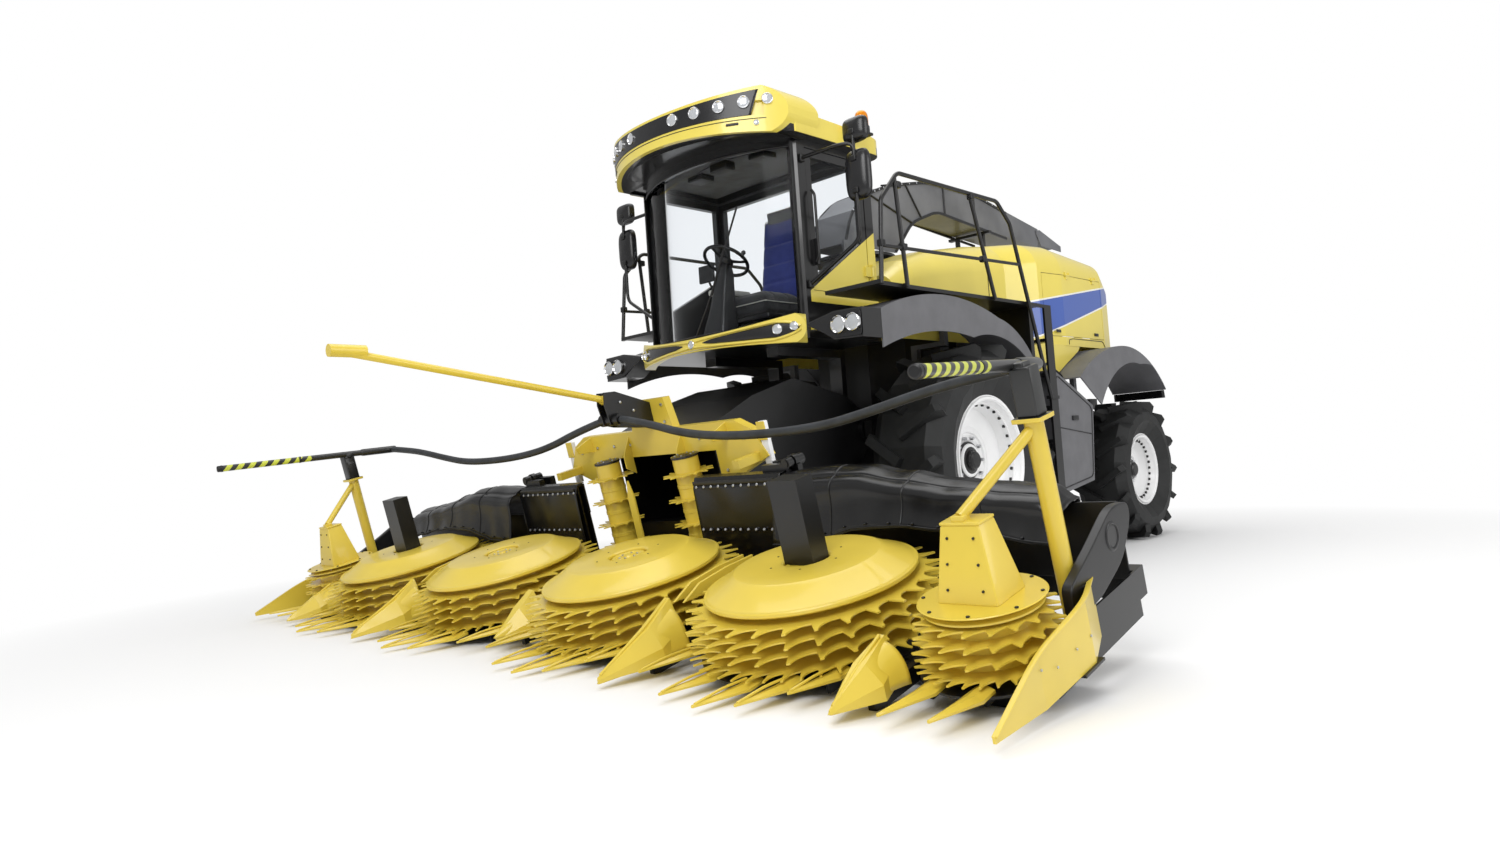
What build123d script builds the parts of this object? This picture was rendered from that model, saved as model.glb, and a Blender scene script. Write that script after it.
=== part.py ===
"""Self-propelled forage harvester with a folding maize header, built as separate pieces.

Units are millimetres.  +X is the machine's left, -Y its front, +Z up, the ground at z = 0.
Lengths along the machine are stations, measured back from the line of the header's rotors.
The header leans forward, so its pieces are drawn in its own frame: x, v (back) and w (up).
"""
import os
from math import asin, cos, degrees, pi, radians, sin, tan

from build123d import *

os.makedirs("parts", exist_ok=True)

# ---------------------------------------------------------------- overall
FRONT_REACH = 1510.0      # rotor line to the crop boom's tip
REAR_REACH = 7500.0       # rotor line to the spout flap's edge
ROTOR_Y = -(REAR_REACH - FRONT_REACH) / 2
RUN = 5.0                 # running gap between moving pieces
SEAT = 0.3                # gap where curved pieces seat on each other

# ---------------------------------------------------------------- wheels
FRONT_AXLE = 3400.0       # station
REAR_AXLE = 6600.0
FRONT_TYRE_R = 1000.0
FRONT_TYRE_W = 710.0
FRONT_TRACK = 2290.0
FRONT_RIM_R = 545.0
REAR_TYRE_R = 750.0
REAR_TYRE_W = 600.0
REAR_TRACK = 2330.0
REAR_RIM_R = 385.0
TYRE_WALL = 42.0
TYRE_FACETS = 20
LUG_COUNT = 14            # tread bars on each half of a tyre
LUG_H = 55.0
LUG_LEAN = 34.0           # degrees
SPINDLE_R = 60.0
SPINDLE_GAP = 0.3
KINGPIN_X = 735.0
KINGPIN_R = 32.0

# ---------------------------------------------------------------- chassis
RAIL_X = 430.0            # outer face of each frame rail
RAIL_W = 140.0
RAIL_Z = 1210.0
RAIL_H = 240.0
RAIL_FRONT = 2620.0
RAIL_REAR = 6950.0
FEEDER_HINGE = (2800.0, 1330.0)   # station, height
FEEDER_PIN_R = 55.0
HITCH_S = RAIL_REAR + 100         # station of the rear drawbar pin
HITCH_Z = RAIL_Z + 85
HITCH_GAP = 60.0                  # between the clevis plates
HITCH_T = 25.0
HITCH_HALF = 70.0
HITCH_PIN_R = 16.0

# ---------------------------------------------------------------- cab
CAB_HALF = 900.0
CAB_FRONT = 1750.0        # station of the front corners
CAB_NOSE = 1420.0         # station of the bowed front's middle
CAB_REAR = 2660.0
CAB_FLOOR = 2030.0
CAB_TOP = 3580.0
CAB_SKIN = 55.0
GLASS = 8.0
DOOR_GAP = 6.0
DOOR_T = 44.0
DOOR_HINGE_R = 14.0

# ---------------------------------------------------------------- hood and spout
HOOD_FRONT = 2760.0
HOOD_HALF = 1240.0
HOOD_NECK_HALF = 990.0    # narrower part beside the walkway
HOOD_NECK_END = 4330.0
HOOD_SKIN = 8.0
HOOD_BASE = 2060.0
TURRET = 3560.0           # station of the spout's turning axis
TURRET_R = 330.0
TURRET_TOP = 2960.0
SPOUT_HALF = 205.0
SPOUT_SKIN = 8.0
FLAP_HINGE = (REAR_REACH - 585, 3640.0)
CRADLE_S = 5700.0
CRADLE_Z = 3500.0

# ---------------------------------------------------------------- header
HEADER_Z = 572.0          # height of the rotor caps' line
HEADER_TILT = 12.5        # degrees, nose down
ROTOR_PITCH = 1500.0
SMALL_ROTOR = (3355.0, -150.0)    # x, v
SMALL_TIP_R = 350.0
TIP_R = 715.0
FOLD_X = 1500.0
FOLD_W = 350.0
FOLD_PIN_R = 25.0
SECTION_GAP = 15.0        # half the slit between the header's sections
DRUM_X = 455.0
DRUM_V = 908.0
DRUM_R = 95.0
DRUM_TIP_R = 190.0
HOSE_R = 32.0
ARCH_V = 1050.0           # front face of the attachment frame
FACE_V = 1120.0           # face where the header bolts to the feeder

tilt = radians(HEADER_TILT)
SIDE = Plane(origin=(0, ROTOR_Y, 0), x_dir=(0, 1, 0), z_dir=(1, 0, 0))
HEADER = Plane(origin=(0, ROTOR_Y, HEADER_Z), x_dir=(1, 0, 0), z_dir=(0, -sin(tilt), cos(tilt)))
HEADER_SIDE = Plane(origin=HEADER.origin, x_dir=HEADER.y_dir, z_dir=(1, 0, 0))


# ---------------------------------------------------------------- drawing aids
def save(node, name):
    """Label a finished piece and write it as one STEP file."""
    node.part.label = name
    export_step(node.part, f"parts/{name}.step")


def at(x, s, z):
    """Frame position of a point given by x, station and height."""
    return (x, ROTOR_Y + s, z)


def in_header(x, v, w):
    """Frame position of a point given in the header's own frame."""
    p = HEADER.from_local_coords((x, v, w))
    return (p.X, p.Y, p.Z)


def header_to_side(v, w):
    """Station and height of a header point."""
    return (v * cos(tilt) - w * sin(tilt), HEADER_Z + v * sin(tilt) + w * cos(tilt))


def block(x0, x1, s0, s1, z0, z1, mode=Mode.ADD):
    """Box between two corners: x, station and height."""
    with Locations(at((x0 + x1) / 2, (s0 + s1) / 2, (z0 + z1) / 2)):
        Box(abs(x1 - x0), abs(s1 - s0), abs(z1 - z0), mode=mode)


def header_block(x0, x1, v0, v1, w0, w1, mode=Mode.ADD):
    """Box between two corners in the header's frame."""
    middle = Location(((x0 + x1) / 2, (v0 + v1) / 2, (w0 + w1) / 2))
    with Locations(HEADER.location * middle):
        Box(abs(x1 - x0), abs(v1 - v0), abs(w1 - w0), mode=mode)


def plate(plane, outline, x0, x1, mode=Mode.ADD):
    """Closed outline drawn on a side plane and extruded from x0 to x1."""
    with BuildSketch(plane.offset(x0)) as drawn:
        with BuildLine():
            Polyline(*outline, close=True)
        make_face()
    extrude(drawn.sketch, amount=x1 - x0, mode=mode)


def slab(plane, outline, low, high, mode=Mode.ADD):
    """Closed outline drawn in plan and extruded from low to high."""
    plate(plane, outline, low, high, mode)


def front_plane(s):
    """Plane across the machine at a station: its x is the frame's x, its y is the height."""
    return Plane(origin=(0, ROTOR_Y + s, 0), x_dir=(1, 0, 0), z_dir=(0, -1, 0))


def disc(centre, axis, radius, length, mode=Mode.ADD):
    """Cylinder that starts at centre and runs along axis."""
    with BuildSketch(Plane(origin=centre, z_dir=axis)) as drawn:
        Circle(radius)
    extrude(drawn.sketch, amount=length, mode=mode)


def tube(points, radius, bend=60.0):
    """Round bar through the points, with the same bend radius at each corner."""
    with BuildLine() as path:
        if len(points) > 2:
            FilletPolyline(*points, radius=bend)
        else:
            Line(*points)
    with BuildSketch(Plane(origin=path.line @ 0, z_dir=path.line % 0)) as section:
        Circle(radius)
    sweep(section.sketch, path=path.line)


def spindle_plane(x, s, z):
    """Plane through a wheel's axis: its x runs along the axis, its y is the radius."""
    return Plane(origin=at(x, s, z), x_dir=(1, 0, 0), z_dir=(0, 0, 1))


# ---------------------------------------------------------------- wheels
def mirrored(points):
    """Close a half outline with its own mirror image about the radius axis."""
    return points + [(-x, y) for x, y in reversed(points)]


def faceted_ring(centre, outline, count):
    """Solid ring of flat facets: an (offset, radius) outline carried round the axle in count steps."""
    x0, y0, z0 = centre
    step = 2 * pi / count
    loops = []
    for i in range(count):
        turn = (i + 0.5) * step
        loops.append([(x0 + x, y0 + r * cos(turn), z0 + r * sin(turn)) for x, r in outline])
    faces = []
    for i in range(count):
        here, there = loops[i - 1], loops[i]
        for j in range(len(outline)):
            faces.append(Face(Wire.make_polygon([here[j - 1], here[j], there[j], there[j - 1]])))
    return Solid(Shell(faces))


def tread_lug(centre, side, radius, half, thick, top):
    """The tread bar at the wheel's top: slanted from the crown to the shoulder and on to the wall."""
    lean = radians(LUG_LEAN)
    along = Vector(side * cos(lean), sin(lean), 0)
    inner = -0.5 * half / cos(lean)
    reach = -inner - 0.5 * thick * sin(lean)
    middle = (centre[0] + side * 0.5 * half, centre[1], centre[2])
    with BuildSketch(Plane(origin=middle, x_dir=along, z_dir=along.cross(Vector(0, 0, 1)))) as bar:
        with BuildLine():
            Polyline((inner, radius - LUG_H - 40), (inner, top), (reach - 40, top), (reach, top - 50),
                     (reach - 20, top - 145), close=True)
        make_face()
    extrude(bar.sketch, amount=thick / 2, both=True)


def make_tyre(name, x, s, radius, width, rim):
    """Hollow tyre, open at the rim, with slanted tread bars fused round it."""
    centre = at(x, s, radius)
    half, crown = width / 2, radius - LUG_H
    bead = (rim + SEAT) / cos(pi / TYRE_FACETS)
    outer = [(half - 95, bead), (half - 12, rim + 0.38 * (radius - rim)), (half - 24, crown - 80),
             (0.62 * half, crown)]
    inner = [(half - 95 - TYRE_WALL, bead), (half - 80, crown - 100)]
    thick = 0.078 * radius
    corner = 0.5 * (half * tan(radians(LUG_LEAN)) + thick * cos(radians(LUG_LEAN)))
    top = (radius ** 2 - corner ** 2) ** 0.5
    with BuildPart() as tyre:
        add(faceted_ring(centre, mirrored(outer) + mirrored(inner)[::-1], TYRE_FACETS))
        bars = []
        for side in (1, -1):
            with BuildPart(mode=Mode.PRIVATE) as lug:
                tread_lug(centre, side, radius, half, thick, top)
            for i in range(LUG_COUNT):
                turn = 180 - degrees(asin(corner / radius)) + 360 * (i + (0.5 if side < 0 else 0)) / LUG_COUNT
                bars.append(lug.part.rotate(Axis(centre, (1, 0, 0)), turn))
        add(bars)
    save(tyre, name)
    return tyre.part


def make_rim(name, x, s, radius, width, rim, side, hub_reach):
    """Steel wheel: well, dished disc and hub bored for its spindle; side is +1 on the left."""
    plane = spindle_plane(x, s, radius)
    half = width / 2 - 95
    skin = 14.0
    dish = side * 0.10 * width
    face = side * hub_reach
    with BuildPart() as wheel:
        with BuildSketch(plane):
            with BuildLine():
                Polyline(
                    (-half, rim), (half, rim), (half, rim - 46), (half - 60, rim - 60),
                    (half - 60, rim - 60 - skin), (-half + 60, rim - 60 - skin),
                    (-half + 60, rim - 60), (-half, rim - 46), close=True,
                )
            make_face()
            with BuildLine():
                Polyline(
                    (half - 8, rim + 1), (half - 8, rim - 36), (half - 66, rim - 50),
                    (-half + 66, rim - 50), (-half + 8, rim - 36), (-half + 8, rim + 1), close=True,
                )
            make_face(mode=Mode.SUBTRACT)
            with BuildLine():
                Polyline(
                    (dish, rim - 62), (dish + side * 16, rim - 62), (face, 210), (face, SPINDLE_R + 95),
                    (face + side * 40, SPINDLE_R + 80), (face + side * 40, SPINDLE_R + SPINDLE_GAP),
                    (face - side * 60, SPINDLE_R + SPINDLE_GAP), (face - side * 60, SPINDLE_R + 95),
                    (face - side * 16, 210), close=True,
                )
            make_face()
        revolve(axis=Axis(plane.origin, (1, 0, 0)))
    save(wheel, name)


FRONT_X = FRONT_TRACK / 2
REAR_X = REAR_TRACK / 2
FRONT_FACE = 20.0         # hub face, outboard of the wheel's middle
REAR_FACE = 10.0
for axle, tyre in (
    ("front", make_tyre("front_tyre_left", FRONT_X, FRONT_AXLE, FRONT_TYRE_R, FRONT_TYRE_W, FRONT_RIM_R)),
    ("rear", make_tyre("rear_tyre_left", REAR_X, REAR_AXLE, REAR_TYRE_R, REAR_TYRE_W, REAR_RIM_R)),
):
    with BuildPart() as twin:
        add(mirror(tyre, about=Plane.YZ))
    save(twin, f"{axle}_tyre_right")
for side, label in ((1, "left"), (-1, "right")):
    make_rim(
        f"front_rim_{label}", side * FRONT_X, FRONT_AXLE, FRONT_TYRE_R, FRONT_TYRE_W, FRONT_RIM_R,
        side, FRONT_FACE,
    )
    make_rim(
        f"rear_rim_{label}", side * REAR_X, REAR_AXLE, REAR_TYRE_R, REAR_TYRE_W, REAR_RIM_R,
        side, REAR_FACE,
    )


# ---------------------------------------------------------------- axles, knuckles and frame
def make_front_axle():
    """Drive axle: square housing under the rails, final drives and wheel spindles."""
    drive = FRONT_X - 95
    with BuildPart() as axle:
        block(-drive + 60, drive - 60, FRONT_AXLE - 140, FRONT_AXLE + 140, FRONT_TYRE_R - 130, FRONT_TYRE_R + 130)
        block(-RAIL_X, RAIL_X, FRONT_AXLE - 140, FRONT_AXLE + 140, FRONT_TYRE_R + 130, RAIL_Z)
        for side in (1, -1):
            disc(at(side * (drive - 170), FRONT_AXLE, FRONT_TYRE_R), (side, 0, 0), 190, 170)
            disc(at(side * drive, FRONT_AXLE, FRONT_TYRE_R), (side, 0, 0), SPINDLE_R, 160)
            disc(at(side * (drive + 160), FRONT_AXLE, FRONT_TYRE_R), (side, 0, 0), SPINDLE_R + 30, 16)
    save(axle, "front_axle")


def make_rear_axle():
    """Steered axle: beam, saddle up to the rails and a fork for each kingpin."""
    eye = KINGPIN_X + 45
    with BuildPart() as axle:
        block(-eye + 110, eye - 110, REAR_AXLE - 75, REAR_AXLE + 75, REAR_TYRE_R - 90, REAR_TYRE_R + 90)
        block(-RAIL_X, RAIL_X, REAR_AXLE - 110, REAR_AXLE + 110, REAR_TYRE_R + 90, RAIL_Z)
        block(-RAIL_X + 200, RAIL_X - 200, REAR_AXLE - 111, REAR_AXLE + 111, REAR_TYRE_R + 150, RAIL_Z - 60,
              mode=Mode.SUBTRACT)
        for side in (1, -1):
            for low in (-120, 75):
                block(side * (eye - 150), side * eye, REAR_AXLE - 75, REAR_AXLE + 75,
                      REAR_TYRE_R + low, REAR_TYRE_R + low + 45)
            block(side * (eye - 150), side * (eye - 110), REAR_AXLE - 75, REAR_AXLE + 75,
                  REAR_TYRE_R - 120, REAR_TYRE_R + 120)
            disc(at(side * KINGPIN_X, REAR_AXLE, REAR_TYRE_R - 130), (0, 0, 1), KINGPIN_R, 260)
    save(axle, "rear_axle")


def make_knuckle(name, side):
    """Steering knuckle: barrel round the kingpin, wheel spindle and steering arm."""
    reach = REAR_X + REAR_FACE
    with BuildPart() as knuckle:
        disc(at(side * KINGPIN_X, REAR_AXLE, REAR_TYRE_R - 70), (0, 0, 1), 44, 140)
        disc(at(side * (KINGPIN_X + 20), REAR_AXLE, REAR_TYRE_R), (side, 0, 0), 66, reach - 65 - KINGPIN_X - 20)
        disc(at(side * (reach - 65), REAR_AXLE, REAR_TYRE_R), (side, 0, 0), SPINDLE_R, 110)
        disc(at(side * (reach + 45), REAR_AXLE, REAR_TYRE_R), (side, 0, 0), SPINDLE_R + 30, 14)
        block(side * (KINGPIN_X - 5), side * (KINGPIN_X + 40), REAR_AXLE + 30, REAR_AXLE + 230,
              REAR_TYRE_R - 25, REAR_TYRE_R + 15)
        disc(at(side * KINGPIN_X, REAR_AXLE, REAR_TYRE_R - 71), (0, 0, 1), KINGPIN_R + SPINDLE_GAP, 142,
             mode=Mode.SUBTRACT)
    save(knuckle, name)


def make_frame():
    """Two box rails, cross-members and the brackets that carry the feeder's hinge."""
    inner = RAIL_X - RAIL_W
    top = RAIL_Z + RAIL_H
    hinge_s, hinge_z = FEEDER_HINGE
    with BuildPart() as frame:
        for side in (1, -1):
            block(side * inner, side * RAIL_X, RAIL_FRONT, RAIL_REAR, RAIL_Z, top)
        for s in (RAIL_FRONT + 60, 4350.0, 5500.0, RAIL_REAR - 60):
            block(-inner, inner, s - 60, s + 60, RAIL_Z + 20, top - 20)
        for side in (1, -1):
            block(side * RAIL_X, side * 690, hinge_s + 160, hinge_s + 240, hinge_z - 70, hinge_z + 70)
            block(side * 610, side * 690, hinge_s - 80, hinge_s + 240, hinge_z - 70, hinge_z + 70)
            disc(at(side * 450, hinge_s, hinge_z), (side, 0, 0), FEEDER_PIN_R, 160)
        block(-760, 760, RAIL_REAR - 190, RAIL_REAR, top, top + 120)
        for z in (HITCH_Z - HITCH_GAP / 2 - HITCH_T, HITCH_Z + HITCH_GAP / 2):
            block(-HITCH_HALF, HITCH_HALF, RAIL_REAR - 20, HITCH_S + HITCH_HALF, z, z + HITCH_T)
        disc(at(0, HITCH_S, HITCH_Z - 100), (0, 0, 1), HITCH_PIN_R, 200, Mode.SUBTRACT)
        block(-850, 850, 6540, 6600, HOOD_BASE - 60, HOOD_BASE)
        for side in (1, -1):
            block(side * (RAIL_X - 60), side * RAIL_X, 6540, 6600, top, HOOD_BASE - 60)
    save(frame, "main_frame")


make_front_axle()
make_rear_axle()
make_knuckle("knuckle_left", 1)
make_knuckle("knuckle_right", -1)
make_frame()


# ---------------------------------------------------------------- engine, hood and tail
HOOD_SECTIONS = [   # station, half width, height of the middle, shoulder radius
    (HOOD_FRONT, HOOD_NECK_HALF, 2640.0, 150.0), (3080.0, HOOD_NECK_HALF, 2810.0, 200.0),
    (3560.0, HOOD_NECK_HALF, 2955.0, 250.0), (4300.0, HOOD_NECK_HALF, 3085.0, 290.0),
    (4570.0, 1020.0, 3112.0, 300.0), (4900.0, 1190.0, 3135.0, 300.0), (5300.0, HOOD_HALF, 3150.0, 320.0),
    (6200.0, HOOD_HALF, 3040.0, 210.0), (6440.0, 1190.0, 2890.0, 200.0), (6600.0, 1090.0, 2650.0, 160.0),
]
HOOD_CROWN = 32.0         # drop from the hood's middle line to its shoulders
SIDE_DOOR = (4960.0, 6180.0, 2150.0, 2780.0)   # station from, to, height from, to
HOOD_HINGES = (5380.0, 5980.0)                 # station of each door's hinge barrels
GRILLE = (900.0, 2160.0, 2600.0)               # half width, height from, to
GRILLE_SLATS = 7
SPOUT_NOTCH = (475.0, 4080.0, 2500.0)          # half width, station to, height from


def height_on(line, s):
    """Height of a line of (station, height) points at a station."""
    for (s0, z0), (s1, z1) in zip(line, line[1:]):
        if s0 <= s <= s1:
            return z0 + (z1 - z0) * (s - s0) / (s1 - s0)
    return line[-1][1]


def hood_block(skin):
    """The hood's solid: round-shouldered sections joined in turn, each moved in by skin."""
    drawn = []
    for s, wide, high, r in HOOD_SECTIONS:
        ends = s + skin if s == HOOD_FRONT else s - skin if s == HOOD_SECTIONS[-1][0] else s
        half, top = wide - skin, high - skin
        edge, low = top - HOOD_CROWN, HOOD_BASE - (1 if skin else 0)
        with BuildSketch(front_plane(ends)) as section:
            with BuildLine():
                Polyline((-half, edge - r), (-half, low), (half, low), (half, edge - r))
                ThreePointArc((half, edge - r), (half - 0.293 * r, edge - 0.293 * r), (half - r, edge))
                ThreePointArc((half - r, edge), (0, top), (r - half, edge))
                ThreePointArc((r - half, edge), (0.293 * r - half, edge - 0.293 * r), (-half, edge - r))
            make_face()
        drawn.append(section.sketch)
    loft(drawn, ruled=True)


def make_engine():
    """Engine block, gearbox and cooler: plain solids at their real size and place."""
    floor = RAIL_Z + RAIL_H
    with BuildPart() as engine:
        block(-430, 430, 4560, 6060, floor, floor + 860)
        block(-520, 520, 6180, 6330, floor + 40, floor + 1220)
        block(-300, 300, 6060, 6180, floor + 200, floor + 420)
    save(engine, "engine")


def make_hood():
    """Yellow cover over the engine, with side doors cut from the same skin and a rear opening."""
    low_s, high_s, low_z, high_z = SIDE_DOOR
    gap = DOOR_GAP
    with BuildPart() as shell:
        hood_block(0.0)
        with BuildPart(mode=Mode.PRIVATE) as hollow:
            hood_block(HOOD_SKIN)
        add(hollow.part, mode=Mode.SUBTRACT)
        block(-GRILLE[0], GRILLE[0], 6500, 6700, GRILLE[1], GRILLE[2], mode=Mode.SUBTRACT)
        block(-SPOUT_NOTCH[0], SPOUT_NOTCH[0], HOOD_FRONT - 5, SPOUT_NOTCH[1], SPOUT_NOTCH[2], 3300,
              mode=Mode.SUBTRACT)
        for i in range(GRILLE_SLATS):
            z = GRILLE[1] + 40 + i * (GRILLE[2] - GRILLE[1] - 60) / GRILLE_SLATS
            block(-GRILLE[0] - 3, GRILLE[0] + 3, 6591, 6599, z, z + 24)
    hinge_x, hinge_z = HOOD_HALF + 10, high_z - gap / 2
    with BuildPart() as hood:
        add(shell.part)
        for side in (1, -1):
            block(side * 900, side * 1300, low_s, high_s, low_z, high_z, mode=Mode.SUBTRACT)
            for s in HOOD_HINGES:
                disc(at(side * hinge_x, s - 14, hinge_z), (0, 1, 0), 4, 88)
                for ear in (s - 14, s + 64):
                    block(side * HOOD_HALF, side * (hinge_x + 8), ear, ear + 10, hinge_z - 8, hinge_z + 30)
    save(hood, "hood")
    for side, label in ((1, "left"), (-1, "right")):
        with BuildPart() as door:
            add(shell.part)
            block(side * 900, side * 1300, low_s + gap, high_s - gap, low_z + gap, high_z - gap, mode=Mode.INTERSECT)
            for s in HOOD_HINGES:
                for ear in (s - 19, s + 59):
                    block(side * 1200, side * 1260, ear, ear + 20, hinge_z - 16, hinge_z + 10, mode=Mode.SUBTRACT)
                block(side * HOOD_HALF, side * hinge_x, s, s + 60, hinge_z - 40, hinge_z)
                disc(at(side * hinge_x, s, hinge_z), (0, 1, 0), 9, 60)
                disc(at(side * hinge_x, s - 1, hinge_z), (0, 1, 0), 4 + SEAT, 62, Mode.SUBTRACT)
        save(door, f"hood_door_{label}")


make_engine()
make_hood()


# ---------------------------------------------------------------- fenders, steps, walkway and rails
FENDER_T = 12.0
FENDER_OUT = 1490.0
FRONT_TOP = 2 * FRONT_TYRE_R
FRONT_FENDER = [(1870.0, FRONT_TOP + 170), (2700.0, FRONT_TOP + 330), (3550.0, FRONT_TOP + 195),
                (3950.0, FRONT_TOP + 20), (4190.0, FRONT_TOP - 260)]
FRONT_SKIRT = [(4060.0, FRONT_TOP - 350), (2900.0, FRONT_TOP + 35), (1870.0, FRONT_TOP - 120)]
REAR_FENDER = [(5010.0, 1715.0), (5520.0, 1964.0), (6090.0, 2054.0), (6640.0, 1944.0), (7110.0, 1615.0)]
REAR_SKIRT = [(7060.0, 1585.0), (6300.0, 1885.0), (5440.0, 1445.0)]
FRONT_ARCH_R = FRONT_TYRE_R + 45
REAR_ARCH_R = 1130.0
DECK_Z = 2 * FRONT_TYRE_R + 345
DECK_T = 30.0
DECK_OUT = 1480.0
DECK_STAY_S = (4180.0, 4240.0)
DECK_STAY_Z = 1850.0
RAIL_R = 17.0
RAIL_SIDE = 1512.0
LADDER_S = (4425.0, 4555.0)
LADDER_X = (1040.0, 1460.0)
LADDER_STEPS = 6
BOX_OUTLINE = [(4565.0, 620.0), (5240.0, 710.0), (5340.0, 1440.0), (4900.0, 1640.0), (4565.0, 1780.0)]
BOX_IN = 880.0
BOX_OUT = 1440.0


def arches(points, drop=0.0):
    """Arcs through every second of the (station, height) points, moved down by drop."""
    low = [(s, z - drop) for s, z in points]
    for start, middle, end in zip(low[::2], low[1::2], low[2::2]):
        ThreePointArc(start, middle, end)


def arch_height(points, s):
    """Height at a station of the arc through three (station, height) points."""
    (ax, ay), (bx, by), (cx, cy) = points
    d = 2 * (ax * (by - cy) + bx * (cy - ay) + cx * (ay - by))
    a, b, c = ax ** 2 + ay ** 2, bx ** 2 + by ** 2, cx ** 2 + cy ** 2
    x = (a * (by - cy) + b * (cy - ay) + c * (ay - by)) / d
    y = (a * (cx - bx) + b * (ax - cx) + c * (bx - ax)) / d
    return y + ((ax - x) ** 2 + (ay - y) ** 2 - (s - x) ** 2) ** 0.5


def make_fenders():
    """Four wheel covers: a curved top and an outer wall cut back to a round arch, on cranked stays."""
    # top edge, lower edge, axle (station, height), arch radius, inner side, stay: station, x, bend height
    covers = (
        (FRONT_FENDER, FRONT_SKIRT, (FRONT_AXLE, FRONT_TYRE_R), FRONT_ARCH_R, HOOD_NECK_HALF + 6,
         3365.0, 700.0, 2012.0),
        (REAR_FENDER, REAR_SKIRT, (REAR_AXLE, REAR_TYRE_R), REAR_ARCH_R, 880.0, 6020.0, 540.0, 1540.0),
    )
    with BuildPart() as fenders:
        for side in (1, -1):
            for top, skirt, axle, arch, inner, stay_s, stay_x, stay_z in covers:
                with BuildSketch(SIDE.offset(side * inner)) as strip:
                    with BuildLine():
                        arches(top)
                        Line(top[-1], (top[-1][0], top[-1][1] - FENDER_T))
                        arches(top, FENDER_T)
                        Line((top[0][0], top[0][1] - FENDER_T), top[0])
                    make_face()
                extrude(strip.sketch, amount=side * (FENDER_OUT - inner))
                with BuildPart(mode=Mode.PRIVATE) as wall:
                    with BuildSketch(SIDE.offset(side * (FENDER_OUT - FENDER_T))) as cheek:
                        with BuildLine():
                            arches(top)
                            Line(top[-1], skirt[0])
                            arches(skirt)
                            Line(skirt[-1], top[0])
                        make_face()
                    extrude(cheek.sketch, amount=side * FENDER_T)
                    disc(at(side * (FENDER_OUT - 30), *axle), (side, 0, 0), arch, 60, Mode.SUBTRACT)
                add(wall.part)
                under = min(arch_height(top[:3], stay_s), arch_height(top[:3], stay_s + 60)) - FENDER_T + 3
                block(side * RAIL_X, side * (stay_x + 60), stay_s, stay_s + 60, RAIL_Z + 170, RAIL_Z + 230)
                block(side * stay_x, side * (stay_x + 60), stay_s, stay_s + 60, RAIL_Z + 170, stay_z + 40)
                block(side * stay_x, side * (inner + 60), stay_s, stay_s + 60, stay_z, stay_z + 40)
                block(side * (inner + 10), side * (inner + 60), stay_s, stay_s + 60, stay_z, under)
    save(fenders, "fenders")


def make_service_boxes():
    """Black side boxes between the wheels, hung from the rails by two beams."""
    with BuildPart() as boxes:
        for side in (1, -1):
            plate(SIDE, BOX_OUTLINE, side * BOX_IN, side * BOX_OUT)
            for s in (4640.0, 5060.0):
                block(side * RAIL_X, side * BOX_IN, s, s + 80, RAIL_Z + 30, RAIL_Z + 130)
    save(boxes, "service_boxes")


def make_walkways():
    """Decks over the front fenders, and the ladder up to the left one."""
    step = (DECK_Z - 480.0) / LADDER_STEPS
    with BuildPart() as decks:
        for side in (1, -1):
            block(side * (HOOD_NECK_HALF + 6), side * DECK_OUT, 1850, HOOD_NECK_END - RUN, DECK_Z, DECK_Z + DECK_T)
            block(side * 1040, side * 1440, *DECK_STAY_S, DECK_STAY_Z, DECK_Z)
            block(side * (RAIL_X - 60), side * 1440, *DECK_STAY_S, DECK_STAY_Z, DECK_STAY_Z + 50)
            block(side * (RAIL_X - 60), side * RAIL_X, *DECK_STAY_S, RAIL_Z + RAIL_H, DECK_STAY_Z)
        for i in range(LADDER_STEPS):
            z = 480.0 + i * step
            block(*LADDER_X, *LADDER_S, z, z + 30)
        for x in LADDER_X:
            block(x - 10, x + 10, *LADDER_S, 440, DECK_Z + DECK_T)
            block(x - 10, x + 10, HOOD_NECK_END - 100, LADDER_S[0], DECK_Z, DECK_Z + DECK_T)
    save(decks, "walkways")


def make_handrails():
    """Black tube rails round both walkways, with the long ladder rail on the left."""
    top, mid = DECK_Z + 865, DECK_Z + 345
    with BuildPart() as rails:
        for side in (1, -1):
            x = side * RAIL_SIDE
            low = 1500.0 if side > 0 else DECK_Z
            rear = 4345.0 if side > 0 else 4070.0
            tube([at(x, 1870, DECK_Z), at(x, 1940, top - 230), at(x, 2170, top), at(x, 3630, top),
                  at(x, 3830, top - 170), at(x, rear, low)], RAIL_R, 110)
            tube([at(x, 2130, top - 45), at(x, 2200, DECK_Z)], RAIL_R)
            tube([at(x, 3190, top), at(x, 3480, DECK_Z)], RAIL_R)
            tube([at(x, 1890, mid - 60), at(x, 3930, mid)], RAIL_R * 0.8)
            for s in (1870.0, 2200.0, 3480.0, 4080.0):
                block(side * DECK_OUT, x, s - 20, s + 20, DECK_Z, DECK_Z + DECK_T)
        block(LADDER_X[1] + 10, RAIL_SIDE, 4330, 4500, 1500, 1530)
    save(rails, "handrails")


make_fenders()
make_service_boxes()
make_walkways()
make_handrails()


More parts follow.
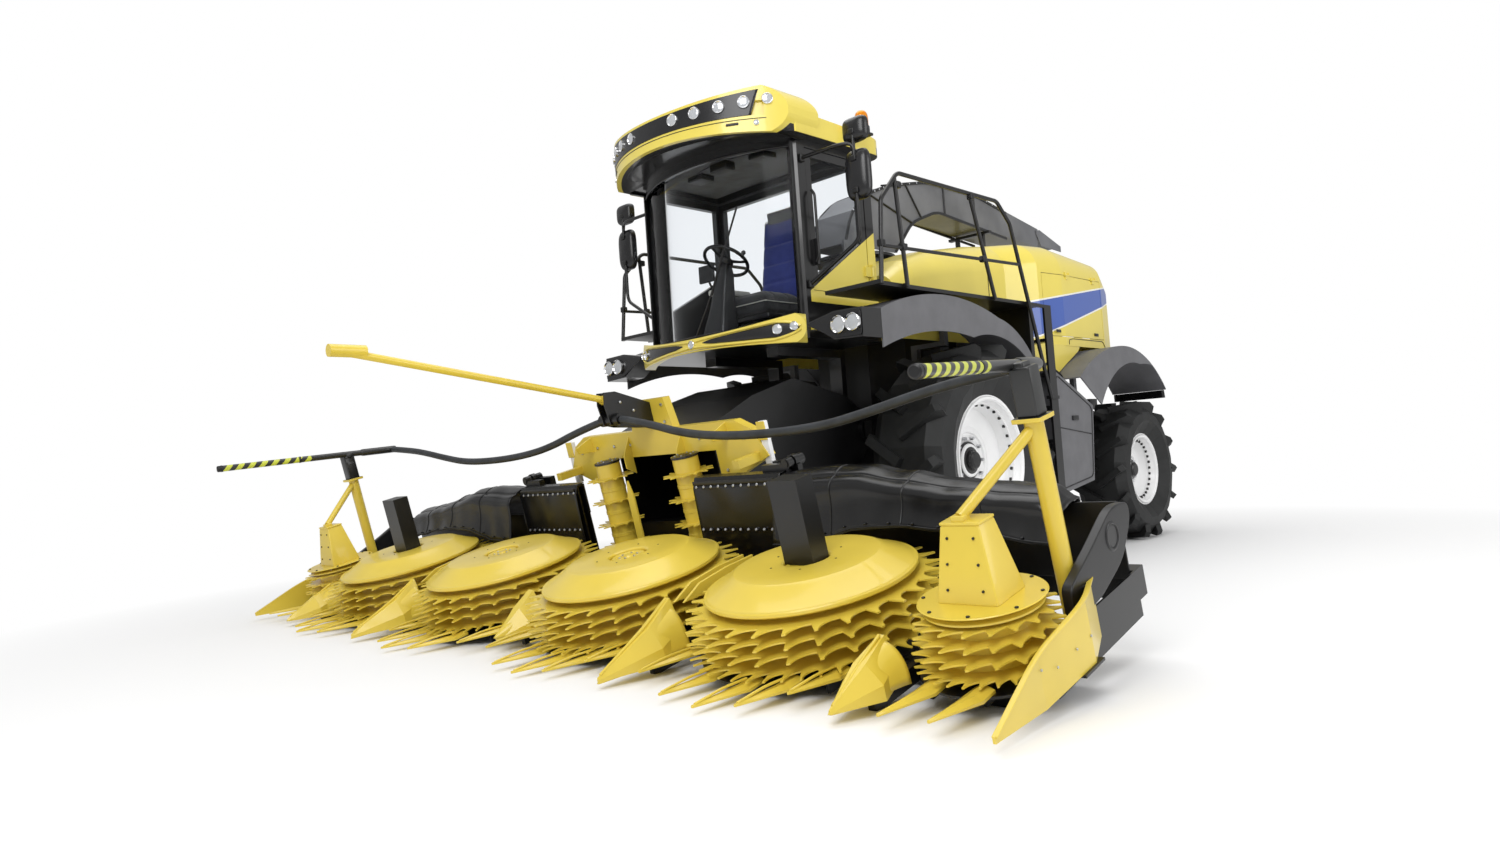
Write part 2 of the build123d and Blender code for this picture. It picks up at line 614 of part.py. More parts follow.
# ---------------------------------------------------------------- cab
def cab_plan(inset_by, low, high, mode=Mode.ADD):
    """Cab in plan: bowed front, straight sides and rear, moved in by inset_by, low to high."""
    half = CAB_HALF - inset_by
    corner = CAB_FRONT + inset_by * 0.35
    nose = CAB_NOSE + inset_by
    with BuildSketch(Plane(origin=(0, ROTOR_Y, low))) as plan:
        with BuildLine():
            ThreePointArc((-half, corner), (0, nose), (half, corner))
            Polyline((half, corner), (half, CAB_REAR - inset_by), (-half, CAB_REAR - inset_by), (-half, corner))
        make_face()
    extrude(plan.sketch, amount=high - low, mode=mode)


PAN_T = 60.0              # floor pan
SHIELD_SEAM = CAB_FRONT + 28      # station of the joint behind the windscreen's frame
SILL_Z = CAB_FLOOR + 110
SIDE_SILL_Z = DECK_Z + DECK_T + 25
HEAD_Z = CAB_TOP - 60
WINDOW_S = (CAB_FRONT + 90, CAB_REAR - 100)
SHIELD_HALF = CAB_HALF - 45
REAR_SILL = 2600.0


DOOR_S = (WINDOW_S[0] + DOOR_GAP, WINDOW_S[1] - DOOR_GAP)
DOOR_Z = (SIDE_SILL_Z + DOOR_GAP, HEAD_Z - DOOR_GAP)
DOOR_HINGE = (CAB_HALF + DOOR_HINGE_R + RUN, WINDOW_S[1] + 22)   # x, station
DOOR_BAR = 62.0
SWOOP_Z = 2850.0          # rear end of the side windows' rising lower edge
SIDE_LIGHT = [(WINDOW_S[0], SIDE_SILL_Z + DOOR_BAR), (WINDOW_S[1], SWOOP_Z), (WINDOW_S[1], HEAD_Z),
              (WINDOW_S[0], HEAD_Z)]
DOOR_LIGHT = [(DOOR_S[0] + DOOR_BAR, DOOR_Z[0] + DOOR_BAR), (DOOR_S[1] - DOOR_BAR, SWOOP_Z),
              (DOOR_S[1] - DOOR_BAR, DOOR_Z[1] - DOOR_BAR), (DOOR_S[0] + DOOR_BAR, DOOR_Z[1] - DOOR_BAR)]


def cab_windows(mode, grow=0.0):
    """The cab's openings: windscreen, left door, right window and rear window."""
    block(-SHIELD_HALF - grow, SHIELD_HALF + grow, 1200, CAB_FRONT - 10, SILL_Z, HEAD_Z, mode=mode)
    block(CAB_HALF - 200, CAB_HALF + 50, WINDOW_S[0], WINDOW_S[1], SIDE_SILL_Z, HEAD_Z, mode=mode)
    plate(SIDE, SIDE_LIGHT, -CAB_HALF - 50, -CAB_HALF + 200, mode)
    block(-CAB_HALF + 110, CAB_HALF - 110, CAB_REAR - 200, CAB_REAR + 50, REAR_SILL, HEAD_Z, mode=mode)


def make_cab_frame():
    """Floor pan, windscreen frame, two side frames and rear wall, on the beams that carry them."""
    with BuildPart() as cab:
        cab_plan(0, CAB_FLOOR, CAB_TOP)
        cab_plan(CAB_SKIN, CAB_FLOOR + PAN_T, CAB_TOP + 1, Mode.SUBTRACT)
        cab_windows(Mode.SUBTRACT)
        inner, pan = CAB_HALF - CAB_SKIN, CAB_FLOOR + PAN_T
        block(-CAB_HALF - 1, CAB_HALF + 1, CAB_NOSE - 1, CAB_REAR + 1, pan, pan + SEAT, mode=Mode.SUBTRACT)
        block(-CAB_HALF - 1, CAB_HALF + 1, SHIELD_SEAM, SHIELD_SEAM + SEAT, pan, CAB_TOP + 1, mode=Mode.SUBTRACT)
        for side in (1, -1):
            block(side * (inner - SEAT), side * inner, CAB_REAR - CAB_SKIN - 1, CAB_REAR + 1, pan, CAB_TOP + 1,
                  mode=Mode.SUBTRACT)
        for side in (1, -1):
            block(side * 300, side * RAIL_X, CAB_REAR + 30, CAB_REAR + 90, RAIL_Z + RAIL_H, CAB_FLOOR)
            block(side * 300, side * RAIL_X, 1900, CAB_REAR + 90, CAB_FLOOR - 70, CAB_FLOOR)
        for z in (DOOR_Z[0] + 160, DOOR_Z[1] - 240):
            disc(at(*DOOR_HINGE, z - 22), (0, 0, 1), 6, 124)
            for low in (z - 22, z + 84):
                block(CAB_HALF - 1, DOOR_HINGE[0] + 12, DOOR_HINGE[1] - 8, DOOR_HINGE[1] + 30, low, low + 18)
    save(cab, "cab_frame")


def make_cab_glass():
    """Bowed windscreen, right-hand pane and rear pane, each filling its opening."""
    half = CAB_SKIN / 2
    with BuildPart() as glass:
        cab_plan(half - GLASS / 2, SILL_Z, HEAD_Z)
        cab_plan(half + GLASS / 2, SILL_Z - 1, HEAD_Z + 1, Mode.SUBTRACT)
        with BuildPart(mode=Mode.PRIVATE) as openings:
            block(-SHIELD_HALF, SHIELD_HALF, 1200, CAB_FRONT - 10, SILL_Z, HEAD_Z)
            plate(SIDE, SIDE_LIGHT, -CAB_HALF - 50, -CAB_HALF + 200)
            block(-CAB_HALF + 110, CAB_HALF - 110, CAB_REAR - 200, CAB_REAR + 50, REAR_SILL, HEAD_Z)
        add(openings.part, mode=Mode.INTERSECT)
    save(glass, "cab_glass")


def make_door():
    """Left door: a frame round its glass, with hinge leaves and a handle."""
    outer, inner = CAB_HALF - 4, CAB_HALF - 4 - DOOR_T
    with BuildPart() as door:
        block(inner, outer, *DOOR_S, *DOOR_Z)
        plate(SIDE, DOOR_LIGHT, inner - 1, outer + 1, Mode.SUBTRACT)
        for z in (DOOR_Z[0] + 160, DOOR_Z[1] - 240):
            block(outer, CAB_HALF + RUN, DOOR_S[1] - 55, DOOR_S[1] - 10, z, z + 80)
            block(CAB_HALF + RUN, CAB_HALF + RUN + 10, DOOR_S[1] - 55, DOOR_HINGE[1], z, z + 80)
            disc(at(DOOR_HINGE[0], DOOR_HINGE[1], z), (0, 0, 1), DOOR_HINGE_R, 80)
            disc(at(DOOR_HINGE[0], DOOR_HINGE[1], z - 1), (0, 0, 1), 6.3, 82, Mode.SUBTRACT)
        block(outer, outer + 40, DOOR_S[0] + 22, DOOR_S[0] + 48, 2600, 2800)
    save(door, "cab_door")
    with BuildPart() as pane:
        plate(SIDE, DOOR_LIGHT, inner + 18, inner + 18 + GLASS)
    save(pane, "door_glass")


ROOF_HALF = 1010.0
ROOF_NOSE = 1060.0
ROOF_CORNER = 1560.0
ROOF_REAR = 2760.0
SHELL_HALF = ROOF_HALF - 15       # roof shell behind the visor
VISOR_DEEP = 350.0
VISOR_R = (ROOF_HALF ** 2 + (ROOF_CORNER - ROOF_NOSE) ** 2) / (2 * (ROOF_CORNER - ROOF_NOSE))
VISOR_S = ROOF_NOSE + VISOR_R     # station of the bowed front's centre
LAMP_BAND = (3690.0, 3800.0)      # height from, to
LAMP_X = (250.0, 440.0, 620.0, 780.0)
LAMP_R = 44.0


def make_visor():
    """Deep bowed visor: its plan crescent meets its front outline; a band of lamps is sunk in it."""
    with BuildSketch(Plane(origin=(0, ROTOR_Y, CAB_TOP - 40))) as plan:
        with BuildLine():
            ThreePointArc((-ROOF_HALF, ROOF_CORNER), (0, ROOF_NOSE), (ROOF_HALF, ROOF_CORNER))
            Line((ROOF_HALF, ROOF_CORNER), (ROOF_HALF, ROOF_CORNER + VISOR_DEEP))
            ThreePointArc((ROOF_HALF, ROOF_CORNER + VISOR_DEEP), (0, ROOF_NOSE + VISOR_DEEP),
                          (-ROOF_HALF, ROOF_CORNER + VISOR_DEEP))
            Line((-ROOF_HALF, ROOF_CORNER + VISOR_DEEP), (-ROOF_HALF, ROOF_CORNER))
        make_face()
    extrude(plan.sketch, amount=450)
    with BuildSketch(front_plane(ROOF_NOSE - 50)) as front:
        with BuildLine():
            ThreePointArc((-ROOF_HALF + 90, 3560), (0, 3600), (ROOF_HALF - 90, 3560))
            ThreePointArc((ROOF_HALF - 90, 3560), (ROOF_HALF, 3700), (ROOF_HALF - 130, 3915))
            ThreePointArc((ROOF_HALF - 130, 3915), (0, 3840), (-ROOF_HALF + 130, 3915))
            ThreePointArc((-ROOF_HALF + 130, 3915), (-ROOF_HALF, 3700), (-ROOF_HALF + 90, 3560))
        make_face()
    extrude(front.sketch, amount=-1200, mode=Mode.INTERSECT)
    with BuildPart(mode=Mode.PRIVATE) as groove:
        disc(at(0, VISOR_S, LAMP_BAND[0]), (0, 0, 1), VISOR_R + 30, LAMP_BAND[1] - LAMP_BAND[0])
        disc(at(0, VISOR_S, LAMP_BAND[0] - 1), (0, 0, 1), VISOR_R - 24, 200, Mode.SUBTRACT)
        block(-LAMP_X[3] - 110, LAMP_X[3] + 110, ROOF_NOSE - 60, ROOF_CORNER, 3600, 3900, mode=Mode.INTERSECT)
    add(groove.part, mode=Mode.SUBTRACT)
    for side in (1, -1):
        for x in LAMP_X:
            depth = (VISOR_R ** 2 - x ** 2) ** 0.5
            lens = at(side * x * (VISOR_R - 60) / VISOR_R, VISOR_S - depth * (VISOR_R - 60) / VISOR_R,
                      sum(LAMP_BAND) / 2)
            disc(lens, (side * x, -depth, 0), LAMP_R, 54)


def make_roof():
    """Low roof shell, recessed below as the headliner, behind the deep visor."""
    with BuildPart() as roof:
        with BuildSketch(Plane(origin=(0, ROTOR_Y, CAB_TOP))) as plan:
            with BuildLine():
                ThreePointArc((-SHELL_HALF, ROOF_CORNER + 90), (0, ROOF_NOSE + 90),
                              (SHELL_HALF, ROOF_CORNER + 90))
                FilletPolyline((SHELL_HALF, ROOF_CORNER + 90), (SHELL_HALF, ROOF_REAR),
                               (-SHELL_HALF, ROOF_REAR), (-SHELL_HALF, ROOF_CORNER + 90), radius=140)
            make_face()
        extrude(plan.sketch, amount=180)
        with BuildPart(mode=Mode.PRIVATE) as dome:
            plate(SIDE, [(1000, CAB_TOP - 1), (3000, CAB_TOP - 1), (3000, CAB_TOP + 85), (2560, CAB_TOP + 145),
                         (1700, CAB_TOP + 165), (1000, CAB_TOP + 165)], -ROOF_HALF, ROOF_HALF)
        add(dome.part, mode=Mode.INTERSECT)
        with BuildPart(mode=Mode.PRIVATE) as visor:
            make_visor()
        add(visor.part)
        cab_plan(CAB_SKIN + 60, CAB_TOP - 100, CAB_TOP + 60, Mode.SUBTRACT)
        block(-CAB_HALF - 5, CAB_HALF + 5, ROOF_CORNER, ROOF_REAR, CAB_TOP - 100, CAB_TOP, mode=Mode.SUBTRACT)
    save(roof, "cab_roof")


def make_bumper():
    """Bowed band under the windscreen, and a lamp housing with two round lamps before each fender."""
    with BuildPart() as band_part:
        with BuildSketch(Plane(origin=(0, ROTOR_Y, 1960))) as plan:
            with BuildLine():
                ThreePointArc((-960, 1650), (0, 1360), (960, 1650))
                Line((960, 1650), (895, CAB_FRONT - 25))
                ThreePointArc((895, CAB_FRONT - 25), (0, CAB_NOSE - SEAT), (-895, CAB_FRONT - 25))
                Line((-895, CAB_FRONT - 25), (-960, 1650))
            make_face()
        extrude(plan.sketch, amount=280)
        with BuildSketch(front_plane(1300)) as smile:
            with BuildLine():
                ThreePointArc((-890, 1990), (0, 2035), (890, 1990))
                ThreePointArc((890, 1990), (958, 2110), (890, 2210))
                ThreePointArc((890, 2210), (0, 2125), (-890, 2210))
                ThreePointArc((-890, 2210), (-958, 2110), (-890, 1990))
            make_face()
        extrude(smile.sketch, amount=-500, mode=Mode.INTERSECT)
        for side in (1, -1):
            with BuildSketch(front_plane(1640)) as housing:
                with BuildLine():
                    Polyline((side * 965, 2120), (side * 1230, 2172), (side * 1488, 2165), (side * 1488, 1950),
                             (side * 1230, 1962), close=True)
                make_face()
            extrude(housing.sketch, amount=-229)
            block(side * CAB_HALF, side * 1040, 1770, 1850, 2090, 2122)
            for x in (1290.0, 1420.0):
                disc(at(side * x, 1640, 2064), (0, -1, 0), 58, 20)
    save(band_part, "cab_bumper")


MIRROR = (1369.0, 1877.0, 3207.0)


def make_mirrors():
    """Mirrors on bent tubes from the front pillars, and the beacon on its bracket."""
    x, s, z = MIRROR
    with BuildPart() as mirrors:
        for side in (1, -1):
            tube([at(side * (CAB_HALF + 15), 1790, 3420), at(side * 1260, 1790, 3420), at(side * x, s - 30, 3420),
                  at(side * x, s - 30, 2700), at(side * (CAB_HALF + 15), 1790, 2440)], 15, 45)
            tube([at(side * x, s - 30, 3350), at(side * x, s - 30, 3560)], 15)
            for height in (3420, 2440):
                block(side * CAB_HALF, side * (CAB_HALF + 28), 1765, 1815, height - 30, height + 30)
            block(side * (x - 110), side * (x + 110), s - 52, s + 35, z - 210, z + 170)
            block(side * (x - 110), side * (x + 110), s - 52, s + 35, 3430, 3620)
        block(SHELL_HALF, ROOF_HALF + 140, 2300, 2420, 3650, 3672)
        disc(at(ROOF_HALF + 75, 2360, 3672), (0, 0, 1), 60, 60)
        disc(at(ROOF_HALF + 75, 2360, 3732), (0, 0, 1), 54, 130)
    save(mirrors, "mirrors")


def make_interior():
    """Driver's seat on its pedestal, steering column with wheel, and the arm console."""
    floor = CAB_FLOOR + PAN_T
    with BuildPart() as seat:
        block(-200, 200, 2060, 2420, floor, floor + 240)
        block(-260, 260, 1980, 2480, floor + 240, floor + 400)
        plate(SIDE, [(2380, floor + 400), (2500, floor + 400), (2590, floor + 1090), (2490, floor + 1100)], -250, 250)
        block(-420, -290, 1960, 2400, floor + 480, floor + 560)
        block(-330, -290, 2260, 2340, floor + 300, floor + 480)
        block(-330, -260, 2260, 2340, floor + 280, floor + 330)
        block(-80, 80, 1620, 1760, floor, floor + 60)
        top = at(0, 1800, floor + 700)
        base = at(0, 1690, floor + 60)
        tube([base, top], 38)
        lean = (0, top[1] - base[1], top[2] - base[2])
        with BuildSketch(Plane(origin=top, z_dir=lean)) as ring:
            Circle(205)
            Circle(180, mode=Mode.SUBTRACT)
            Rectangle(370, 34)
            Rectangle(34, 370)
        extrude(ring.sketch, amount=26)
    save(seat, "cab_interior")


make_cab_frame()
make_cab_glass()
make_door()
make_roof()
make_bumper()
make_mirrors()
make_interior()


# ---------------------------------------------------------------- crop spout
def make_spout_tower():
    """Square blower duct that rises from the frame behind the cab, with its round collar."""
    floor = RAIL_Z + RAIL_H
    low, high = TURRET - 300, TURRET + 300
    with BuildPart() as tower:
        block(-300, 300, low, high, floor, TURRET_TOP - 120)
        disc(at(0, TURRET, TURRET_TOP - 120), (0, 0, 1), TURRET_R + 30, 60)
        disc(at(0, TURRET, TURRET_TOP - 60), (0, 0, 1), TURRET_R - 40, 55)
        block(-288, 288, low + 12, high - 12, floor + 12, TURRET_TOP - 200, mode=Mode.SUBTRACT)
        disc(at(0, TURRET, TURRET_TOP - 201), (0, 0, 1), TURRET_R - 60, 300, Mode.SUBTRACT)
        for side in (1, -1):
            foot = height_on([(s, top) for s, half, top, r in HOOD_SECTIONS], CRADLE_S) - SEAT
            block(side * 140, side * 180, CRADLE_S, CRADLE_S + 40, foot, CRADLE_Z - 30)
        block(-260, 260, CRADLE_S - 10, CRADLE_S + 50, CRADLE_Z - 30, CRADLE_Z)
    save(tower, "spout_tower")


LIFT_HINGE = (TURRET - 400, TURRET_TOP + 95)
LIFT_PIN_R = 18.0


def make_spout_ring():
    """Turntable that turns on the collar, with two ears for the spout's lift hinge."""
    with BuildPart() as ring:
        disc(at(0, TURRET, TURRET_TOP), (0, 0, 1), TURRET_R + 60, 30)
        disc(at(0, TURRET, TURRET_TOP - 60 + RUN), (0, 0, 1), TURRET_R - 15, 60)
        disc(at(0, TURRET, TURRET_TOP - 61), (0, 0, 1), TURRET_R - 40 + SEAT, 200, Mode.SUBTRACT)
        disc(at(0, TURRET, TURRET_TOP - 61), (0, 0, 1), TURRET_R - 60, 200, Mode.SUBTRACT)
        for side in (1, -1):
            x = side * (SPOUT_HALF + RUN)
            block(x, x + side * 16, LIFT_HINGE[0] - 40, TURRET - 250, TURRET_TOP + 20, LIFT_HINGE[1] + 40)
            disc(at(x + side * 20, *LIFT_HINGE), (-side, 0, 0), LIFT_PIN_R, 50)
    save(ring, "spout_ring")


SPOUT_TOP = [(TURRET - 400, 3065.0), (3290.0, 3390.0), (3560.0, 3600.0), (3940.0, 3745.0), (4600.0, 3880.0),
             (5580.0, 3880.0), (FLAP_HINGE[0] + 35, FLAP_HINGE[1] + 40)]
SPOUT_TIP_H = 180.0
SPOUT_UNDER = [(FLAP_HINGE[0] + 5, FLAP_HINGE[1] - SPOUT_TIP_H), (4740.0, 3572.0), (4280.0, 3400.0),
               (3960.0, 3065.0)]


def make_spout():
    """Curved rectangular duct, open at its foot and tip."""
    def moved(points, by):
        return [(s, z + by) for s, z in points]

    with BuildPart() as spout:
        plate(SIDE, SPOUT_TOP + SPOUT_UNDER, -SPOUT_HALF, SPOUT_HALF)
        inner_top = [(s + SPOUT_SKIN * 1.5, z - SPOUT_SKIN) for s, z in SPOUT_TOP]
        inner_under = moved(SPOUT_UNDER, SPOUT_SKIN)
        inner_top[-1] = (FLAP_HINGE[0] + 75, FLAP_HINGE[1] + 26)
        inner_under[0] = (FLAP_HINGE[0] + 75, FLAP_HINGE[1] - SPOUT_TIP_H)
        inner_under[-1] = (3945.0, 3000.0)
        inner_top[0] = (TURRET - 388, 3000.0)
        plate(SIDE, inner_top + inner_under, SPOUT_SKIN - SPOUT_HALF, SPOUT_HALF - SPOUT_SKIN, Mode.SUBTRACT)
        for hinge, radius in ((LIFT_HINGE, LIFT_PIN_R), (FLAP_HINGE, 8)):
            disc(at(-SPOUT_HALF - 1, *hinge), (1, 0, 0), radius + SPINDLE_GAP, 2 * SPOUT_HALF + 2, Mode.SUBTRACT)
    save(spout, "spout")


def make_spout_flap():
    """Hooded flap hinged to the top edge of the spout's tip."""
    hinge_s, hinge_z = FLAP_HINGE
    with BuildPart() as flap:
        plate(SIDE, [(hinge_s + 58, hinge_z + 32), (REAR_REACH, hinge_z - 110), (REAR_REACH, hinge_z - 122),
                     (hinge_s + 58, hinge_z + 20)], -SPOUT_HALF - 10, SPOUT_HALF + 10)
        for side in (1, -1):
            x = side * (SPOUT_HALF + RUN)
            plate(SIDE, [(hinge_s - 25, hinge_z + 15), (hinge_s + 58, hinge_z + 32), (REAR_REACH, hinge_z - 110),
                         (REAR_REACH, hinge_z - 180), (hinge_s + 70, hinge_z - 160), (hinge_s - 25, hinge_z - 30)],
                  x, x + side * 6)
            disc(at(x, hinge_s, hinge_z), (-side, 0, 0), 8, RUN + SPOUT_SKIN)
    save(flap, "spout_flap")


make_spout_tower()
make_spout_ring()
make_spout()
make_spout_flap()


# ---------------------------------------------------------------- feeder house
FEEDER_HALF = 560.0
FEEDER_SKIN = 12.0


def make_feeder():
    """Feed-roll housing that carries the header and swings on the frame's hinge pins."""
    hinge_s, hinge_z = FEEDER_HINGE
    outline = [header_to_side(FACE_V, 600), header_to_side(FACE_V, -410), (2250.0, 640.0), (2640.0, 1000.0),
               (2900.0, 1240.0), (2900.0, 1410.0), (2560.0, 1620.0), (1900.0, 1760.0), (1420.0, 1620.0)]
    with BuildPart() as feeder:
        plate(SIDE, outline, -FEEDER_HALF, FEEDER_HALF)
        block(-FEEDER_HALF + FEEDER_SKIN, FEEDER_HALF - FEEDER_SKIN, 900, 1900, 700, 1380, mode=Mode.SUBTRACT)
        block(-RAIL_X - 20, RAIL_X + 20, RAIL_FRONT - 45, 2950, 1150, 1700, mode=Mode.SUBTRACT)
        for side in (1, -1):
            disc(at(side * 480, hinge_s, hinge_z), (side, 0, 0), FEEDER_PIN_R + 45, 120)
            disc(at(side * 440, hinge_s, hinge_z), (side, 0, 0), FEEDER_PIN_R + SEAT, 260, Mode.SUBTRACT)
    save(feeder, "feeder_house")


make_feeder()


# ---------------------------------------------------------------- header: shared shapes
BASE_W = (-530.0, -430.0)         # main beam under the rotors
BASE_V = (-130.0, 230.0)
REAR_W = (-450.0, -300.0)         # beam behind the rotors
REAR_V = (800.0, 960.0)
COLLAR_W = -385.0
CAP_R = 570.0
CAP_FLAT = 360.0          # radius of the cap's flat middle
DECK_R = 440.0
KNIFE_W = -345.0
TIERS = [(-135.0, TIP_R - 25, 28), (-200.0, TIP_R - 10, 28), (-265.0, TIP_R, 28)]   # w, tip radius, teeth
SMALL_TIERS = [(-140.0, 320.0, 18), (-205.0, 335.0, 18), (-270.0, 350.0, 18)]
TOOTH_T = 8.0
SPIGOT_TOP = -190.0


def header_at(x, v):
    """The header's frame moved so that its origin stands at x, v."""
    return Plane(origin=in_header(x, v, 0), x_dir=(1, 0, 0), z_dir=HEADER.z_dir)


def radial_plane(plane):
    """Plane through an upright axis of the header: its x is the radius, its y is w."""
    return Plane(origin=plane.origin, x_dir=plane.x_dir, z_dir=-plane.y_dir)


def turned(plane, outline):
    """Outline of (radius, w) points turned about the plane's upright axis."""
    with BuildSketch(radial_plane(plane)) as section:
        with BuildLine():
            Polyline(*outline, close=True)
        make_face()
    revolve(section.sketch, axis=Axis(plane.origin, plane.z_dir))


def toothed_ring(plane, tier, inner, hand=1):
    """Flat ring of raked teeth with hollow backs; tier is its w, tip radius and tooth count."""
    w, tip, teeth = tier
    root = tip - 95.0 if tip > 400 else tip - 62.0
    pitch = 2 * pi / teeth

    def spot(radius, turn):
        return (radius * cos(hand * turn * pitch), radius * sin(hand * turn * pitch))

    with BuildSketch(plane.offset(w)) as ring:
        with BuildLine():
            for i in range(teeth):
                Line(spot(root, i), spot(tip, i + 0.10))
                Line(spot(tip, i + 0.10), spot(tip - 4, i + 0.22))
                ThreePointArc(spot(tip - 4, i + 0.22), spot(root + 22, i + 0.48), spot(root, i + 1))
        make_face()
        Circle(inner, mode=Mode.SUBTRACT)
    extrude(ring.sketch, amount=TOOTH_T)


def tapered(sections):
    """Solid through upright sections (x, v, half width, low w, high w), each with a narrow ridge."""
    drawn = []
    for x, v, half, low, high in sections:
        plane = Plane(origin=in_header(x, v, 0), x_dir=(1, 0, 0), z_dir=-HEADER.y_dir)
        mid = low + 0.45 * (high - low)
        with BuildSketch(plane) as section:
            with BuildLine():
                Polyline((-half, low), (half, low), (half, mid), (0.3 * half, high), (-0.3 * half, high),
                         (-half, mid), close=True)
            make_face()
        drawn.append(section.sketch)
    loft(drawn, ruled=True)


def make_large_rotor(name, x, through):
    """Large rotor: low cone cap over a drum with three toothed tiers; through bores the cap too."""
    plane = header_at(x, 0)
    bore = SPINDLE_R + SPINDLE_GAP
    hand = 1 if x > 0 else -1
    with BuildPart() as rotor:
        turned(plane, [
            (0, 0), (CAP_FLAT, 0), (CAP_R - 35, -60), (CAP_R - 5, -62), (CAP_R, -68), (CAP_R, -82),
            (CAP_R - 8, -88), (DECK_R, -88), (DECK_R, KNIFE_W), (DECK_R - 14, KNIFE_W), (DECK_R - 14, -46),
            (CAP_FLAT - 10, -16), (95, -16), (95, KNIFE_W), (bore, KNIFE_W),
            (bore, SPIGOT_TOP + RUN), (0, SPIGOT_TOP + RUN),
        ])
        if through:
            disc(plane.origin + plane.z_dir * (KNIFE_W - 1), plane.z_dir, bore, 1 - KNIFE_W + 5, Mode.SUBTRACT)
        for tier in TIERS:
            toothed_ring(plane, tier, DECK_R - 6, hand)
        toothed_ring(plane, (KNIFE_W, TIP_R, 48), DECK_R - 6, hand)
    save(rotor, name)


def make_small_rotor(name, x, v):
    """Small end rotor, bored right through for the post of the tower above it."""
    plane = header_at(x, v)
    bore = SPINDLE_R + SPINDLE_GAP
    with BuildPart() as rotor:
        turned(plane, [
            (bore, -84), (90, -84), (250, -100), (262, -112), (200, -112), (200, KNIFE_W), (190, KNIFE_W),
            (190, -120), (95, -100), (95, KNIFE_W), (bore, KNIFE_W),
        ])
        for tier in SMALL_TIERS:
            toothed_ring(plane, tier, 194)
        toothed_ring(plane, (KNIFE_W, SMALL_TIP_R, 30), 194)
    save(rotor, name)


def make_drum(name, x):
    """Upright feed drum with four toothed rings, under a flat cap."""
    plane = header_at(x, DRUM_V)
    bore = 40 + SPINDLE_GAP
    low, high = -300.0, 446.0
    with BuildPart() as drum:
        turned(plane, [
            (0, high), (DRUM_R, high), (DRUM_R, low), (DRUM_R - 12, low), (DRUM_R - 12, high - 30), (58, high - 30),
            (58, low), (bore, low), (bore, high - 60), (0, high - 60),
        ])
        for w in (-230.0, -50.0, 130.0, 310.0):
            toothed_ring(plane, (w, DRUM_TIP_R, 12), DRUM_R - 5)
    save(drum, name)


POINTS = [(-570.0, -800.0), (-220.0, -970.0), (65.0, -1020.0), (270.0, -950.0), (440.0, -780.0)]
POINT_LEN = 400.0
GUARD_W = (-400.0, -388.0)
GUARD_R = 655.0
SMALL_GUARD_R = 330.0


def crop_point(x, v, offset, radius):
    """One arrow-shaped crop point, long enough to sit on its guard plate: flat below, ridged above."""
    hub_v = 0.0 if radius == GUARD_R else SMALL_ROTOR[1]
    length = max(POINT_LEN, hub_v - v - (radius ** 2 - offset ** 2) ** 0.5 + 60)
    tapered([(x, v + length, 48, GUARD_W[1], -360), (x, v + 0.75 * length, 52, GUARD_W[1], -358),
             (x, v, 5, -326, -312)])


def divider_arm(x, v):
    """Flat bar from the main beam that carries a divider."""
    header_block(x - 20, x + 20, v, BASE_V[0], BASE_W[1] - 40, GUARD_W[1])


def guard_plate(x, radius, v0=0.0):
    """Scalloped plate under a rotor's knives that carries the crop points."""
    plane = header_at(x, v0)
    with BuildSketch(plane.offset(GUARD_W[0])) as guard:
        Circle(radius)
        with Locations((0, radius + BASE_V[0] + 60)):
            Rectangle(2.2 * radius, 2 * radius, mode=Mode.SUBTRACT)
        Circle(165, mode=Mode.SUBTRACT)
    extrude(guard.sketch, amount=GUARD_W[1] - GUARD_W[0])
    front = BASE_V[0] if v0 == 0 else v0 - 120
    for rib in (-0.6, -0.2, 0.2, 0.6):
        header_block(x + rib * radius - 8, x + rib * radius + 8, v0 - 0.72 * radius, front,
                     BASE_W[1] - 40, GUARD_W[0])


# ---------------------------------------------------------------- header: centre section
def make_header_frame():
    """Black centre frame: beams, feed floor, rear walls, gear hubs and the wings' hinge ears."""
    edge = FOLD_X - SECTION_GAP
    with BuildPart() as frame:
        header_block(-edge, edge, *BASE_V, *BASE_W)
        header_block(-edge, edge, *REAR_V, *REAR_W)
        divider_arm(0, -440)
        for side in (1, -1):
            for x in (700.0, 1300.0):
                header_block(side * (x - 50), side * (x + 50), BASE_V[1], REAR_V[0], BASE_W[0], BASE_W[1])
            header_block(side * 700, side * edge, REAR_V[0], REAR_V[0] + 12, REAR_W[1], 60)
            plane = header_at(side * ROTOR_PITCH / 2, 0)
            disc(plane.origin + plane.z_dir * BASE_W[1], plane.z_dir, 160, COLLAR_W - BASE_W[1])
            disc(plane.origin + plane.z_dir * BASE_W[1], plane.z_dir, SPINDLE_R, SPIGOT_TOP - BASE_W[1])
            guard_plate(side * ROTOR_PITCH / 2, GUARD_R)
            divider_arm(side * (edge - 20), -560)
            plane = header_at(side * DRUM_X, DRUM_V)
            disc(plane.origin + plane.z_dir * REAR_W[1], plane.z_dir, 40, 300)
            for v in (REAR_V[0], REAR_V[1] - 50):
                header_block(side * 1290, side * FOLD_X, v, v + 50, REAR_W[1], FOLD_W)
                pin = in_header(side * FOLD_X, v, FOLD_W)
                disc(pin, HEADER.y_dir, FOLD_PIN_R + 12, 50)
            disc(in_header(side * FOLD_X, REAR_V[0] - 6, FOLD_W), HEADER.y_dir, FOLD_PIN_R, REAR_V[1] - REAR_V[0] + 12)
    save(frame, "header_frame")


